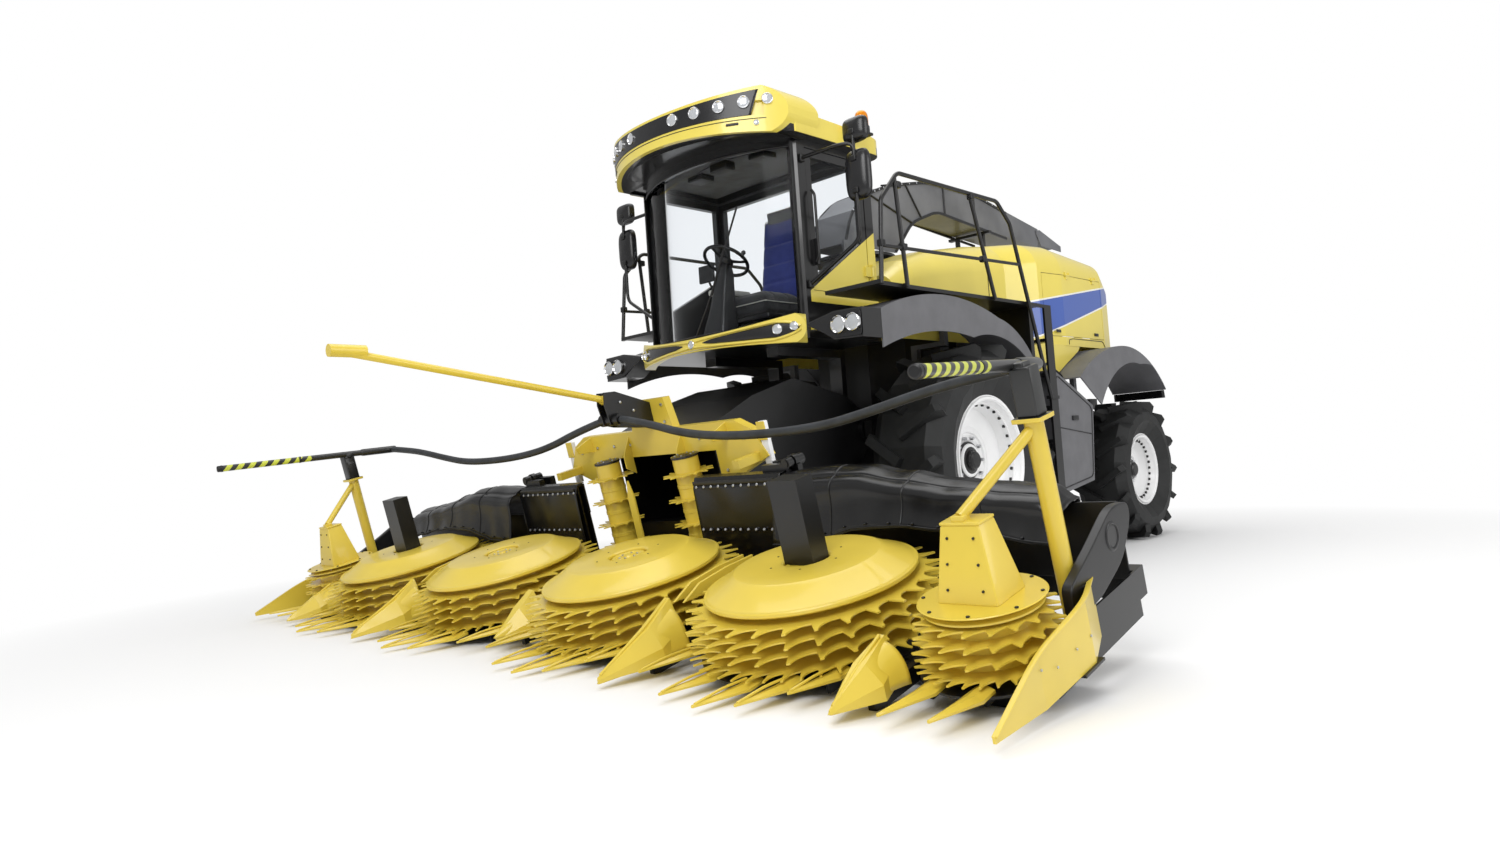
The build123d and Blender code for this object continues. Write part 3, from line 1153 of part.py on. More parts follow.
def make_centre_points():
    """Yellow crop points and dividers of the centre section."""
    low = GUARD_W[1]
    with BuildPart() as points:
        for side in (1, -1):
            for x, v in POINTS:
                crop_point(side * (ROTOR_PITCH / 2 + x), v, x, GUARD_R)
            tapered([(side * 1500, -930, 8, -340, -315), (side * 1500, -560, 110, low, -190),
                     (side * 1500, -370, 70, low, -94)])
        tapered([(0, -624, 8, -372, -345), (0, -430, 120, low, -220), (0, -290, 90, low, -143)])
    save(points, "centre_points")


def make_attachment_frame():
    """Yellow arch that bolts the header to the feeder, with its coupling tower and arms."""
    low, high = ARCH_V, FACE_V
    with BuildPart() as arch:
        plane = Plane(origin=in_header(0, low, 0), x_dir=(1, 0, 0), z_dir=-HEADER.y_dir)
        with BuildSketch(plane) as front:
            with BuildLine():
                Polyline((-1140, 360), (-1020, 560), (-880, 630), (-240, 630), (-200, 860), (200, 860), (240, 630),
                         (880, 630), (1020, 560), (1140, 360), (820, 230), (800, -450), (640, -450), (640, 430),
                         (-640, 430), (-640, -450), (-800, -450), (-820, 230), close=True)
            make_face()
        extrude(front.sketch, amount=-(high - low))
        for side in (1, -1):
            header_block(side * 660, side * 790, REAR_V[1], low, REAR_W[0], REAR_W[1])
            header_block(side * 1000, side * 1060, 830, low, 330, 390)
    save(arch, "attachment_frame")


def make_covers():
    """Riveted rubber aprons behind the centre rotors."""
    with BuildPart() as covers:
        for side in (1, -1):
            header_block(side * 690, side * 1470, 738, 752, -330, 300)
            header_block(side * 690, side * 1270, 752, 812, 286, 300)
            header_block(side * 690, side * 1270, 798, 812, 61, 286)
    save(covers, "header_covers")


# ---------------------------------------------------------------- header: wings
WING_END = 3620.0
POST_TOP = 460.0
BAR_R = 45.0              # striped guard bar
HOOD_STATIONS = [(1570.0, 300.0, -20.0), (2160.0, 310.0, -5.0), (2800.0, 200.0, -20.0), (3390.0, 140.0, -60.0)]


def make_wing_frame(name, side):
    """Folding wing's frame: beams, end plate, gear hubs, guard plates, crop post and hinge arm."""
    inner = FOLD_X + SECTION_GAP
    sx, sv = SMALL_ROTOR
    with BuildPart() as frame:
        header_block(side * inner, side * WING_END, *BASE_V, *BASE_W)
        header_block(side * inner, side * WING_END, REAR_V[0] + 10, REAR_V[1] - 60, *REAR_W)
        header_block(side * 1780, side * 1880, BASE_V[1], REAR_V[0] + 10, *BASE_W)
        header_block(side * 2900, side * 3000, BASE_V[1], REAR_V[0] + 10, *BASE_W)
        header_block(side * (WING_END - 12), side * WING_END, BASE_V[1], REAR_V[0] + 10, BASE_W[0], REAR_W[1])
        header_block(side * (sx - 120), side * (sx + 120), sv - 120, BASE_V[0], *BASE_W)
        for x, v, collar, top in ((1.5 * ROTOR_PITCH, 0.0, 160.0, RUN), (sx, sv, 110.0, -60.0)):
            plane = header_at(side * x, v)
            disc(plane.origin + plane.z_dir * BASE_W[1], plane.z_dir, collar, COLLAR_W - BASE_W[1])
            disc(plane.origin + plane.z_dir * BASE_W[1], plane.z_dir, SPINDLE_R, top - BASE_W[1])
        guard_plate(side * 1.5 * ROTOR_PITCH, GUARD_R)
        guard_plate(side * sx, SMALL_GUARD_R, sv)
        divider_arm(side * 2975, -580)
        header_block(side * WING_END, side * 3742, -100, 90, BASE_W[1] - 7, BASE_W[1] + 5)
        plane = header_at(side * 1.5 * ROTOR_PITCH, 0)
        with BuildSketch(plane.offset(RUN)) as foot:
            Rectangle(200, 130)
        extrude(foot.sketch, amount=POST_TOP - RUN)
        v0, v1 = REAR_V[0] + 60, REAR_V[1] - 60
        header_block(side * (FOLD_X + 10), side * (FOLD_X + 50), v0, v1, REAR_W[1], FOLD_W - 20)
        disc(in_header(side * FOLD_X, v0, FOLD_W), HEADER.y_dir, FOLD_PIN_R + 20, v1 - v0)
        disc(in_header(side * FOLD_X, v0 - 1, FOLD_W), HEADER.y_dir, FOLD_PIN_R + SPINDLE_GAP, v1 - v0 + 2,
             Mode.SUBTRACT)
    save(frame, name)


def make_wing_points(name, side):
    """Crop points, divider and outer shield of one wing."""
    low = GUARD_W[1]
    with BuildPart() as points:
        for x, v in POINTS:
            crop_point(side * (1.5 * ROTOR_PITCH + x), v, x, GUARD_R)
        for x, v in ((-139.0, -686.0), (93.0, -674.0)):
            sx, sv = SMALL_ROTOR
            crop_point(side * (sx + x), sv + v, x, SMALL_GUARD_R)
        tapered([(side * 2975, -845, 8, -350, -328), (side * 2975, -600, 110, low, -230),
                 (side * 2975, -411, 50, low, -176)])
        plan = [(3745, -848), (3722, -420), (3731, 30), (3640, 300), (3632, 296), (3722, 30), (3712, -420),
                (3733, -848)]
        with BuildPart(mode=Mode.PRIVATE) as profile:
            plate(HEADER_SIDE, [(-849, -350), (-849, -322), (-420, -200), (30, -150), (310, -160), (310, -425),
                                (-420, -425)], side * 3600, side * 3760)
        with BuildPart(mode=Mode.PRIVATE) as sheet:
            slab(HEADER, [(side * x, v) for x, v in plan], -425, -140)
            add(profile.part, mode=Mode.INTERSECT)
        add(sheet.part)
    save(points, name)


def make_wing_hood(name, side):
    """Black hood behind a wing's rotors: sloping front, flat top and a back skirt."""
    with BuildPart() as hood:
        drawn = []
        for x, top, low in HOOD_STATIONS:
            with BuildSketch(HEADER_SIDE.offset(side * x)) as section:
                with BuildLine():
                    Polyline((540, low), (700, top), (836, top), (836, REAR_W[1]), (822, REAR_W[1]), (822, top - 14),
                             (708, top - 14), (554, low), close=True)
                make_face()
            drawn.append(section.sketch)
        loft(drawn, ruled=True)
    save(hood, name)


def make_guard_bar(name, side):
    """Tower over the end rotor, brace, upright and post, carrying the striped bar."""
    with BuildPart() as bar:
        plane = header_at(side * SMALL_ROTOR[0], SMALL_ROTOR[1])
        with BuildSketch(plane.offset(-75)) as foot:
            Rectangle(300, 250)
        with BuildSketch(plane.offset(266)) as top:
            Rectangle(190, 130)
        loft([foot.sketch, top.sketch])
        disc(plane.origin + plane.z_dir * -76, plane.z_dir, SPINDLE_R, 16, Mode.SUBTRACT)
        tube([in_header(side * 3556, 244, BASE_W[1] + 2), in_header(side * 3539, 244, 610)], 46)
        header_block(side * 3469, side * 3609, 174, 314, 610, 622)
        header_block(side * 3489, side * 3589, 194, 294, 622, 815)
        header_block(side * 3310, side * 3375, -205, -145, 266, 300)
        tube([in_header(side * 3345, -175, 292), in_header(side * 3530, 215, 560)], 26)
        tube([in_header(side * 3390, 662, 794), in_header(side * 3705, -820, 1015)], BAR_R)
    save(bar, name)


# ---------------------------------------------------------------- header: boom and hoses
BOOM_PIVOT = (460.0, 1640.0)
BOOM_TIP = (-1400.0, 1925.0)


def make_boom():
    """Crop boom and the black plates that it pivots on."""
    s, z = BOOM_PIVOT
    with BuildPart() as mount:
        for x in (-45, 35):
            plate(SIDE, [(s - 40, z - 40), (s - 40, z + 50), (s + 60, z + 60), header_to_side(ARCH_V, 840),
                         header_to_side(ARCH_V, 650), (560, 1440), (470, 1455)], x, x + 10)
        disc(at(-45, s, z), (1, 0, 0), 14, 90)
        disc(at(-110, 514, 1495), (1, 0, 0), 45, 220)
    save(mount, "boom_bracket")
    with BuildPart() as boom:
        tube([at(0, s - 10, z + 1), at(0, *BOOM_TIP)], 24)
        disc(at(-30, s, z), (1, 0, 0), 34, 60)
        disc(at(-31, s, z), (1, 0, 0), 14 + SPINDLE_GAP, 62, Mode.SUBTRACT)
        disc(at(0, BOOM_TIP[0] - 110, BOOM_TIP[1] + 10), (0, 1, 0), 38, 220)
    save(boom, "boom")


HOSE_ROUTE = [(116.0, 1490.0), (400.0, 1440.0), (790.0, 1340.0), (1170.0, 1295.0), (1600.0, 1280.0),
              (2040.0, 1292.0), (2380.0, 1346.0), (2710.0, 1408.0), (2990.0, 1450.0), (3345.3, 1483.2)]
HOSE_S = (514.0, 434.0)


def hose_point(side, x, z):
    """A hose's route point: its station runs evenly from the centre to the wing's end."""
    share = x / HOSE_ROUTE[-1][0]
    return at(side * x, HOSE_S[0] + share * (HOSE_S[1] - HOSE_S[0]), z)


def corner_radii(points):
    """Radius of each inner corner: 0.45 of the shorter run over the tangent of half the turn."""
    radii = []
    for a, b, c in zip(points, points[1:], points[2:]):
        first, second = Vector(*b) - Vector(*a), Vector(*c) - Vector(*b)
        half_turn = radians(first.get_angle(second)) / 2
        radii.append(0.45 * min(first.length, second.length) / tan(half_turn))
    return radii


def make_hose(name, side):
    """Hanging hose from the boom's bracket to the wing's striped bar."""
    points = [hose_point(side, x, z) for x, z in HOSE_ROUTE]
    radii = corner_radii(points)
    print(name, "bend radii:", [round(r) for r in radii])
    with BuildPart() as hose:
        with BuildLine() as route:
            FilletPolyline(*points, radius=radii)
        with BuildSketch(Plane(origin=route.line @ 0, z_dir=route.line % 0)):
            Circle(HOSE_R)
        sweep(path=route.line)
        print(name, "length:", round(sum(edge.length for edge in route.line.edges())))
    save(hose, name)


make_header_frame()
make_centre_points()
make_attachment_frame()
make_covers()
make_boom()
for side, label in ((1, "left"), (-1, "right")):
    make_drum(f"feed_drum_{label}", side * DRUM_X)
    make_large_rotor(f"centre_rotor_{label}", side * 0.5 * ROTOR_PITCH, False)
    make_large_rotor(f"wing_rotor_{label}", side * 1.5 * ROTOR_PITCH, True)
    make_small_rotor(f"end_rotor_{label}", side * SMALL_ROTOR[0], SMALL_ROTOR[1])
    make_wing_frame(f"wing_frame_{label}", side)
    make_wing_points(f"wing_points_{label}", side)
    make_wing_hood(f"wing_hood_{label}", side)
    make_guard_bar(f"guard_bar_{label}", side)
    make_hose(f"hose_{label}", side)
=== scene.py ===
"""Looks of a self-propelled forage harvester with a folding maize header.

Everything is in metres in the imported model's own frame: +X is the machine's left, -Y its front, +Z up.
Stations are lengths measured back from the line of the header's rotors, as the solids use them.
The header leans forward, so its pieces are drawn in its own frame: x, v (back) and w (up).
"""

import math

import bmesh
import bpy
import numpy as np
from bpy.props import FloatProperty, FloatVectorProperty, IntProperty, PointerProperty
from mathutils import Matrix, Vector


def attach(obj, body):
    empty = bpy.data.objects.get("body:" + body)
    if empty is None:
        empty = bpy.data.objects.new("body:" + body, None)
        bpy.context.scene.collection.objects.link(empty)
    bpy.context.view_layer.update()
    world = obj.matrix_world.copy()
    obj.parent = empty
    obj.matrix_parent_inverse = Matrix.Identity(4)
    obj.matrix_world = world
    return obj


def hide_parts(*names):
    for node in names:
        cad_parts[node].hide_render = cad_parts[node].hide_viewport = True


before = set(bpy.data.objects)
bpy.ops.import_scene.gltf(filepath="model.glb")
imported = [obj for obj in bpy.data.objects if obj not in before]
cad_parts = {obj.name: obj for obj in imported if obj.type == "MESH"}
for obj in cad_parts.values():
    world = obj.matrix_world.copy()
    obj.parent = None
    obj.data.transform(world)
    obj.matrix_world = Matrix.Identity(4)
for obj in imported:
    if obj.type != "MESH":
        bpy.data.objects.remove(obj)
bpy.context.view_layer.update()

bl_info = {
    "name": "Forage harvester looks",
    "version": (1, 0, 0),
    "blender": (4, 5, 0),
    "location": "View3D > Sidebar > Harvester",
    "description": "Dresses the packed forage harvester with its finishes and its finer pieces",
    "category": "Object",
}

# ---------------------------------------------------------------- where things are
ROTOR_Y = -2.995                  # y of the line of the header's rotors
HEADER_Z = 0.572                  # height of the header frame's origin
BAND_R = 1.2702                   # radius of the visor's bow, about (0, BAND_S)
BAND_S = 2.3302                   # station of that bow's middle
HEADER_TILT = math.radians(12.5)
LEAN_UP = (0.0, -math.sin(HEADER_TILT), math.cos(HEADER_TILT))
LEAN_BACK = (0.0, math.cos(HEADER_TILT), math.sin(HEADER_TILT))
LEAN_FRONT = tuple(-part for part in LEAN_BACK)
SIDES = ((1, "left"), (-1, "right"))
CAB_FLOOR = 2.090                 # height of the cab's floor


# ---------------------------------------------------------------- materials
def linear(code):
    """RGBA in linear light for an sRGB hex code."""
    parts = [int(code[i:i + 2], 16) / 255 for i in (1, 3, 5)]
    return tuple(p / 12.92 if p <= 0.04045 else ((p + 0.055) / 1.055) ** 2.4 for p in parts) + (1.0,)


WHITE = linear("#ffffff")


def add(tree, kind, inputs=None, **settings):
    """Add one node, set its properties, and give each named or numbered input a value or a link."""
    node = tree.nodes.new(kind)
    for name, value in settings.items():
        setattr(node, name, value)
    for key, value in (inputs or {}).items():
        if isinstance(value, bpy.types.NodeSocket):
            tree.links.new(value, node.inputs[key])
        else:
            node.inputs[key].default_value = value
    return node


def emptied(owner):
    """Node tree of a new material or world, with nothing in it."""
    owner.use_nodes = True
    owner.node_tree.nodes.clear()
    return owner.node_tree


def new_material(name):
    """Material with only its shader and output, joined."""
    made = bpy.data.materials.new(name)
    tree = emptied(made)
    shader = add(tree, "ShaderNodeBsdfPrincipled")
    add(tree, "ShaderNodeOutputMaterial", {"Surface": shader.outputs[0]})
    return made, tree, shader


def stops(ramp, *pairs):
    """Give a colour ramp its stops as (place, colour)."""
    elements = ramp.color_ramp.elements
    while len(elements) < len(pairs):
        elements.new(0.5)
    for element, (place, colour) in zip(elements, pairs):
        element.position = place
        element.color = colour


def placed(tree):
    """Socket of the object's coordinates, which are the frame's own."""
    return add(tree, "ShaderNodeTexCoord").outputs["Object"]


def maths(tree, operation, a, b):
    """Socket of one sum over two values or sockets."""
    return add(tree, "ShaderNodeMath", {0: a, 1: b}, operation=operation).outputs[0]


def mottled(tree, low, high, size_mm):
    """Colour that drifts between two colours over patches of the given size; returns its socket."""
    noise = add(tree, "ShaderNodeTexNoise", {"Vector": placed(tree), "Scale": 1000 / size_mm, "Detail": 4.0})
    ramp = add(tree, "ShaderNodeValToRGB", {"Fac": noise.outputs[0]})
    stops(ramp, (0.35, low), (0.65, high))
    return ramp.outputs[0]


def grain(tree, shader, size_mm, depth_mm, detail=2.0):
    """Give a shader a fine bump of one grain size."""
    noise = add(tree, "ShaderNodeTexNoise", {"Vector": placed(tree), "Scale": 1000 / size_mm, "Detail": detail})
    bump = add(tree, "ShaderNodeBump",
               {"Height": noise.outputs[0], "Distance": depth_mm / 1000, "Strength": 0.6})
    tree.links.new(bump.outputs[0], shader.inputs["Normal"])


def over(tree, mask, under, above):
    """Colour above where the mask is 1, and under where it is 0."""
    return add(tree, "ShaderNodeMix", {0: mask, 6: under, 7: above}, data_type="RGBA").outputs[2]


def within(tree, lines, reach=0.0):
    """Mask that is 1 on the inner side of every line, each (point, inward normal) in the frame."""
    spot = placed(tree)
    least = None
    for point, normal in lines:
        away = Vector(normal).normalized()
        dot = add(tree, "ShaderNodeVectorMath", {0: spot, 1: away}, operation="DOT_PRODUCT").outputs["Value"]
        depth = maths(tree, "SUBTRACT", dot, Vector(point).dot(away) - reach)
        least = depth if least is None else maths(tree, "MINIMUM", least, depth)
    return maths(tree, "GREATER_THAN", least, 0.0)


ENAMEL_ROUGHNESS = 0.28           # of the machine's own enamels


def painted(name, low, high, roughness, peel_mm=9.0, coat=0.5):
    """Gloss enamel on pressed steel: an even colour, a clear coat and a faint orange peel."""
    made, tree, shader = new_material(name)
    shader.inputs["Roughness"].default_value = roughness
    shader.inputs["Coat Weight"].default_value = coat
    shader.inputs["Coat Roughness"].default_value = 0.08
    tree.links.new(mottled(tree, low, high, 420), shader.inputs["Base Color"])
    grain(tree, shader, peel_mm, 0.05)
    return made


def powdered(name, colour):
    """Powder coat: a little rougher than enamel, with a fine stipple."""
    return painted(name, darker(colour, 0.92), colour, 0.34, 5.0, 0.3)


def moulded(name, low, high, roughness, grain_mm=1.6, depth_mm=0.10):
    """Moulded plastic or rubber: matt, with the fine leather grain of its tool."""
    made, tree, shader = new_material(name)
    shader.inputs["Roughness"].default_value = roughness
    shader.inputs["IOR"].default_value = 1.49
    tree.links.new(mottled(tree, low, high, 160), shader.inputs["Base Color"])
    grain(tree, shader, grain_mm, depth_mm)
    return made


def metal(name, low, high, roughness):
    """Bare metal: full metallic, worn to a slightly uneven shine."""
    made, tree, shader = new_material(name)
    shader.inputs["Metallic"].default_value = 1.0
    shader.inputs["Roughness"].default_value = roughness
    tree.links.new(mottled(tree, low, high, 60), shader.inputs["Base Color"])
    grain(tree, shader, 3.0, 0.05)
    return made


def glass(name, tint, blend):
    """Thin laminated glass: mostly see-through, with a gloss that grows towards its edges."""
    made = bpy.data.materials.new(name)
    tree = emptied(made)
    see = add(tree, "ShaderNodeBsdfTransparent", {"Color": tint})
    gloss = add(tree, "ShaderNodeBsdfGlossy", {"Color": WHITE, "Roughness": 0.02})
    edge = add(tree, "ShaderNodeLayerWeight", {"Blend": blend})
    mix = add(tree, "ShaderNodeMixShader", {0: edge.outputs["Fresnel"], 1: see.outputs[0], 2: gloss.outputs[0]})
    add(tree, "ShaderNodeOutputMaterial", {"Surface": mix.outputs[0]})
    return made


def darker(colour, share):
    """The same colour with its light scaled by share."""
    return tuple(c * share for c in colour[:3]) + (1.0,)


def between(x):
    """Lines of a mask that is 1 from -x to x."""
    return [((x, 0, 0), (-1, 0, 0)), ((-x, 0, 0), (1, 0, 0))]


def recolour(made):
    """Tree, colour input and present colour of an enamel that gets other colours over its own."""
    tree = made.node_tree
    colour = next(n for n in tree.nodes if n.type == "BSDF_PRINCIPLED").inputs["Base Color"]
    return tree, colour, colour.links[0].from_socket


def hood_enamel(name, low, high, accent):
    """Hood enamel with a plain wedge of the accent colour, edged in white, low on each side."""
    made = painted(name, low, high, ENAMEL_ROUGHNESS)
    tree, colour, base = recolour(made)
    tip, foot = (0, ROTOR_Y + 4.44, 2.42), (0, ROTOR_Y + 4.78, 2.13)
    lines = [(tip, (0, 0.29, 0.34)), (tip, (0, 0.16, -1.0)), (foot, (0, -0.27, 1.0)),
             ((0, ROTOR_Y + 6.40, 0), (0, -1, 0.12))]
    edge = within(tree, lines, 0.016)
    flat = within(tree, lines)
    tree.links.new(over(tree, flat, over(tree, edge, base, linear("#f2f0e4")), accent), colour)
    return made


def roof_enamel(name, low, high, dark):
    """Roof enamel with a dark underside: behind the visor's lip, where the headliner and its frame begin."""
    made = painted(name, low, high, ENAMEL_ROUGHNESS)
    tree, colour, base = recolour(made)
    plan = add(tree, "ShaderNodeVectorMath", {0: placed(tree), 1: (1, 1, 0)}, operation="MULTIPLY").outputs[0]
    plan = add(tree, "ShaderNodeVectorMath", {0: plan, 1: (0, ROTOR_Y + BAND_S, 0)},
               operation="SUBTRACT").outputs[0]
    away = add(tree, "ShaderNodeVectorMath", {0: plan}, operation="LENGTH").outputs["Value"]
    behind = maths(tree, "LESS_THAN", away, BAND_R - 0.040)
    inner = within(tree, [((0, 0, 3.645), (0, 0, -1)), *between(0.9875)])
    tree.links.new(over(tree, maths(tree, "MULTIPLY", behind, inner), base, dark), colour)
    return made


def door_enamel(name, low, high, dark):
    """Cab side: enamel below the rising line under the side window, black frame above it."""
    made = painted(name, low, high, ENAMEL_ROUGHNESS)
    tree, colour, base = recolour(made)
    front, rear = (0, ROTOR_Y + 1.905, 2.462), (0, ROTOR_Y + 2.50, 2.844)
    rise, run = rear[2] - front[2], rear[1] - front[1]
    lines = [(front, (0, rise, -run)), ((0, ROTOR_Y + 1.80, 0), (0, 1, 0)), ((0, 0, 2.31), (0, 0, 1))]
    left = within(tree, [*lines, ((0.893, 0, 0), (1, 0, 0))])
    right = within(tree, [*lines, ((-0.893, 0, 0), (-1, 0, 0))])
    tree.links.new(over(tree, maths(tree, "MAXIMUM", left, right), dark, base), colour)
    return made


def bumper_enamel(name, low, high, dark):
    """Bumper enamel on the bowed band, and dark moulding on the lamp pods outside it."""
    made = painted(name, low, high, ENAMEL_ROUGHNESS)
    tree, colour, base = recolour(made)
    band = within(tree, between(0.9605))
    tree.links.new(over(tree, band, dark, base), colour)
    return made


def bar_enamel(name, paint, bright, dark):
    """Header enamel on the tower and its brace, a black post, and slanting bright bands on the bar's front."""
    made = powdered(name, paint)
    tree, colour, base = recolour(made)
    up, back = Vector(LEAN_UP), Vector(LEAN_BACK)
    along = add(tree, "ShaderNodeVectorMath", {0: placed(tree), 1: back / 0.107 - up / 0.10},
                operation="DOT_PRODUCT")
    turn = add(tree, "ShaderNodeMath", {0: along.outputs["Value"]}, operation="FRACT")
    band = maths(tree, "GREATER_THAN", turn.outputs[0], 0.5)
    bar = (header([0, 0.662, 0.742]), 0.1475 * back + 0.989 * up)
    front = within(tree, [bar, (header([0, -0.08, 0]), -back), (header([0, -0.79, 0]), back)])
    post = over(tree, within(tree, [(header([0, 0, 0.621]), up)]), base, dark)
    tree.links.new(over(tree, maths(tree, "MULTIPLY", band, front), post, bright), colour)
    return made


def lens(name, colour, strength):
    """Lamp glass over a bright reflector: glossy, and lit faintly from within."""
    made, tree, shader = new_material(name)
    shader.inputs["Base Color"].default_value = colour
    shader.inputs["Roughness"].default_value = 0.08
    shader.inputs["Metallic"].default_value = 0.35
    shader.inputs["Emission Color"].default_value = colour
    shader.inputs["Emission Strength"].default_value = strength
    grain(tree, shader, 9.0, 0.8, 0.0)
    return made


def woven(name, low, high, thread_mm):
    """Woven seat cloth: crossed ribs of the thread's size, drawn twice as coarse so that they show."""
    made, tree, shader = new_material(name)
    shader.inputs["Roughness"].default_value = 0.9
    shader.inputs["Sheen Weight"].default_value = 0.35
    spot = placed(tree)
    rib = add(tree, "ShaderNodeTexWave", {"Vector": spot, "Scale": 500 / thread_mm}, bands_direction="Z")
    cross = add(tree, "ShaderNodeTexWave", {"Vector": spot, "Scale": 500 / thread_mm}, bands_direction="X")
    both = maths(tree, "MULTIPLY", rib.outputs["Fac"], cross.outputs["Fac"])
    bump = add(tree, "ShaderNodeBump", {"Height": both, "Distance": 0.0006, "Strength": 0.5})
    tree.links.new(bump.outputs[0], shader.inputs["Normal"])
    tree.links.new(mottled(tree, low, high, 90), shader.inputs["Base Color"])
    return made


FINISHES = {}


def make_finishes(sizes):
    """Every finish of the machine, by a short name, from the panel's colours."""
    chosen = (sizes.hood_colour, sizes.header_colour, sizes.accent_colour)
    hood, header_coat, accent = (tuple(colour) + (1.0,) for colour in chosen)
    yellow = (darker(hood, 0.96), hood)
    dark = linear("#0b0b0c")
    FINISHES.update(
        # sprayed and baked enamel: even, wet-looking, with broad soft highlights
        hood_paint=hood_enamel("gloss_yellow_enamel_on_hood_panels", *yellow, accent),
        cab_paint=painted("gloss_yellow_enamel_on_cab_panels", *yellow, ENAMEL_ROUGHNESS),
        bumper_paint=bumper_enamel("gloss_yellow_enamel_and_black_on_bumper", *yellow, dark),
        roof_paint=roof_enamel("gloss_yellow_enamel_and_dark_lining_on_roof", *yellow, dark),
        door_paint=door_enamel("gloss_yellow_enamel_and_black_on_cab_side", *yellow, dark),
        # powder coat: deeper yellow, a little rougher, with a fine stipple
        header_paint=powdered("yellow_powder_coat_on_header_steel", header_coat),
        black_paint=painted("black_chassis_enamel", linear("#060607"), linear("#0c0c0d"), 0.36, 6.0, 0.1),
        white_paint=painted("white_wheel_enamel", linear("#eeeeee"), linear("#f6f6f6"), 0.35, 6.0, 0.3),
        # moulded polypropylene: dark grey, matt, finely grained
        fender=moulded("dark_grey_moulded_polypropylene", linear("#616164"), linear("#69696c"), 0.46),
        trim=moulded("black_moulded_abs", linear("#0b0b0c"), linear("#121214"), 0.38),
        band=moulded("charcoal_moulded_acrylic", linear("#18181a"), linear("#1e1e20"), 0.26),
        tyre=moulded("natural_rubber_tyre_compound", linear("#0f1010"), linear("#1a1b1b"), 0.6, 4.0, 0.3),
        # calendered rubber sheet: near black, half-glossy, with slow waves
        cover=moulded("black_rubber_sheet", linear("#0a0a0b"), linear("#121213"), 0.27, 60.0, 1.2),
        hose=moulded("spiral_wrapped_hydraulic_hose_rubber", linear("#232528"), linear("#34373b"), 0.55,
                     14.0, 0.8),
        liner=moulded("grey_headliner_felt", linear("#5b5c5e"), linear("#6b6c70"), 0.8),
        console=moulded("light_grey_moulded_armrest", linear("#b9b8ae"), linear("#c6c5bb"), 0.6),
        spout=painted("grey_enamel_on_spout_plate", linear("#5e5f63"), linear("#717276"), 0.42, 6.0, 0.1),
        steel=metal("zinc_plated_steel", linear("#b9babd"), linear("#cfd0d2"), 0.3),
        chrome=metal("chromed_lamp_bezel", linear("#e4e5e7"), linear("#f2f2f3"), 0.12),
        lamp=lens("clear_lamp_glass", linear("#c4c7cb"), 0.03),
        red=lens("red_tail_lamp_acrylic", linear("#b5161c"), 0.1),
        amber=lens("amber_beacon_acrylic", linear("#e38a12"), 0.12),
        # the same powder coat under a black post and a sleeve of reflective bands
        bar_paint=bar_enamel("yellow_powder_coat_and_striped_sleeve", header_coat, linear("#c9d040"),
                             linear("#1a1b1b")),
        seat=woven("black_woven_seat_cloth", linear("#17181a"), linear("#232427"), 1.4),
        back=woven("blue_woven_seat_cloth", linear("#22307a"), linear("#2c3a8a"), 1.4),
        glass=glass("laminated_cab_glass", linear("#fbfcfd"), 0.10),
    )


NODE_FINISH = {
    "hood_paint": ("hood", "hood_door_left", "hood_door_right"),
    "roof_paint": ("cab_roof",),
    "door_paint": ("cab_door", "cab_frame"),
    "header_paint": ("attachment_frame", "centre_points", "boom", "wing_points_left", "wing_points_right",
                     "centre_rotor_left", "centre_rotor_right", "wing_rotor_left", "wing_rotor_right",
                     "end_rotor_left", "end_rotor_right", "feed_drum_left", "feed_drum_right"),
    "bar_paint": ("guard_bar_left", "guard_bar_right"),
    "black_paint": ("main_frame", "front_axle", "rear_axle", "knuckle_left", "knuckle_right", "engine",
                    "walkways", "handrails", "feeder_house", "boom_bracket", "header_frame",
                    "wing_frame_left", "wing_frame_right", "spout_tower"),
    "white_paint": ("front_rim_left", "front_rim_right", "rear_rim_left", "rear_rim_right"),
    "fender": ("fenders", "service_boxes"),
    "trim": ("mirrors", "cab_interior"),
    "bumper_paint": ("cab_bumper",),
    "tyre": ("front_tyre_left", "front_tyre_right", "rear_tyre_left", "rear_tyre_right", "hose_left",
             "hose_right"),
    "cover": ("header_covers", "wing_hood_left", "wing_hood_right"),
    "spout": ("spout", "spout_flap", "spout_ring"),
    "glass": ("cab_glass", "door_glass"),
}


def paint_nodes():
    """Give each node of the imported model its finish."""
    for finish, nodes in NODE_FINISH.items():
        for node in nodes:
            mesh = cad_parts[node].data
            mesh.materials.clear()
            mesh.materials.append(FINISHES[finish])


# ---------------------------------------------------------------- shapes from whole arrays
def machine(local):
    """Frame points of (x, station, height) points."""
    return np.asarray(local, float) + (0.0, ROTOR_Y, 0.0)


def header(local):
    """Frame points of (x, v, w) points: v runs back and w up, both leaned by the header's tilt."""
    x, v, w = np.moveaxis(np.asarray(local, float), -1, 0)
    lean, rise = math.sin(HEADER_TILT), math.cos(HEADER_TILT)
    return np.stack([x, ROTOR_Y + v * rise - w * lean, HEADER_Z + v * lean + w * rise], -1)


def grid(a, b, c):
    """Points of three coordinates: numbers or arrays that broadcast together."""
    return np.stack(np.broadcast_arrays(a, b, c), -1)


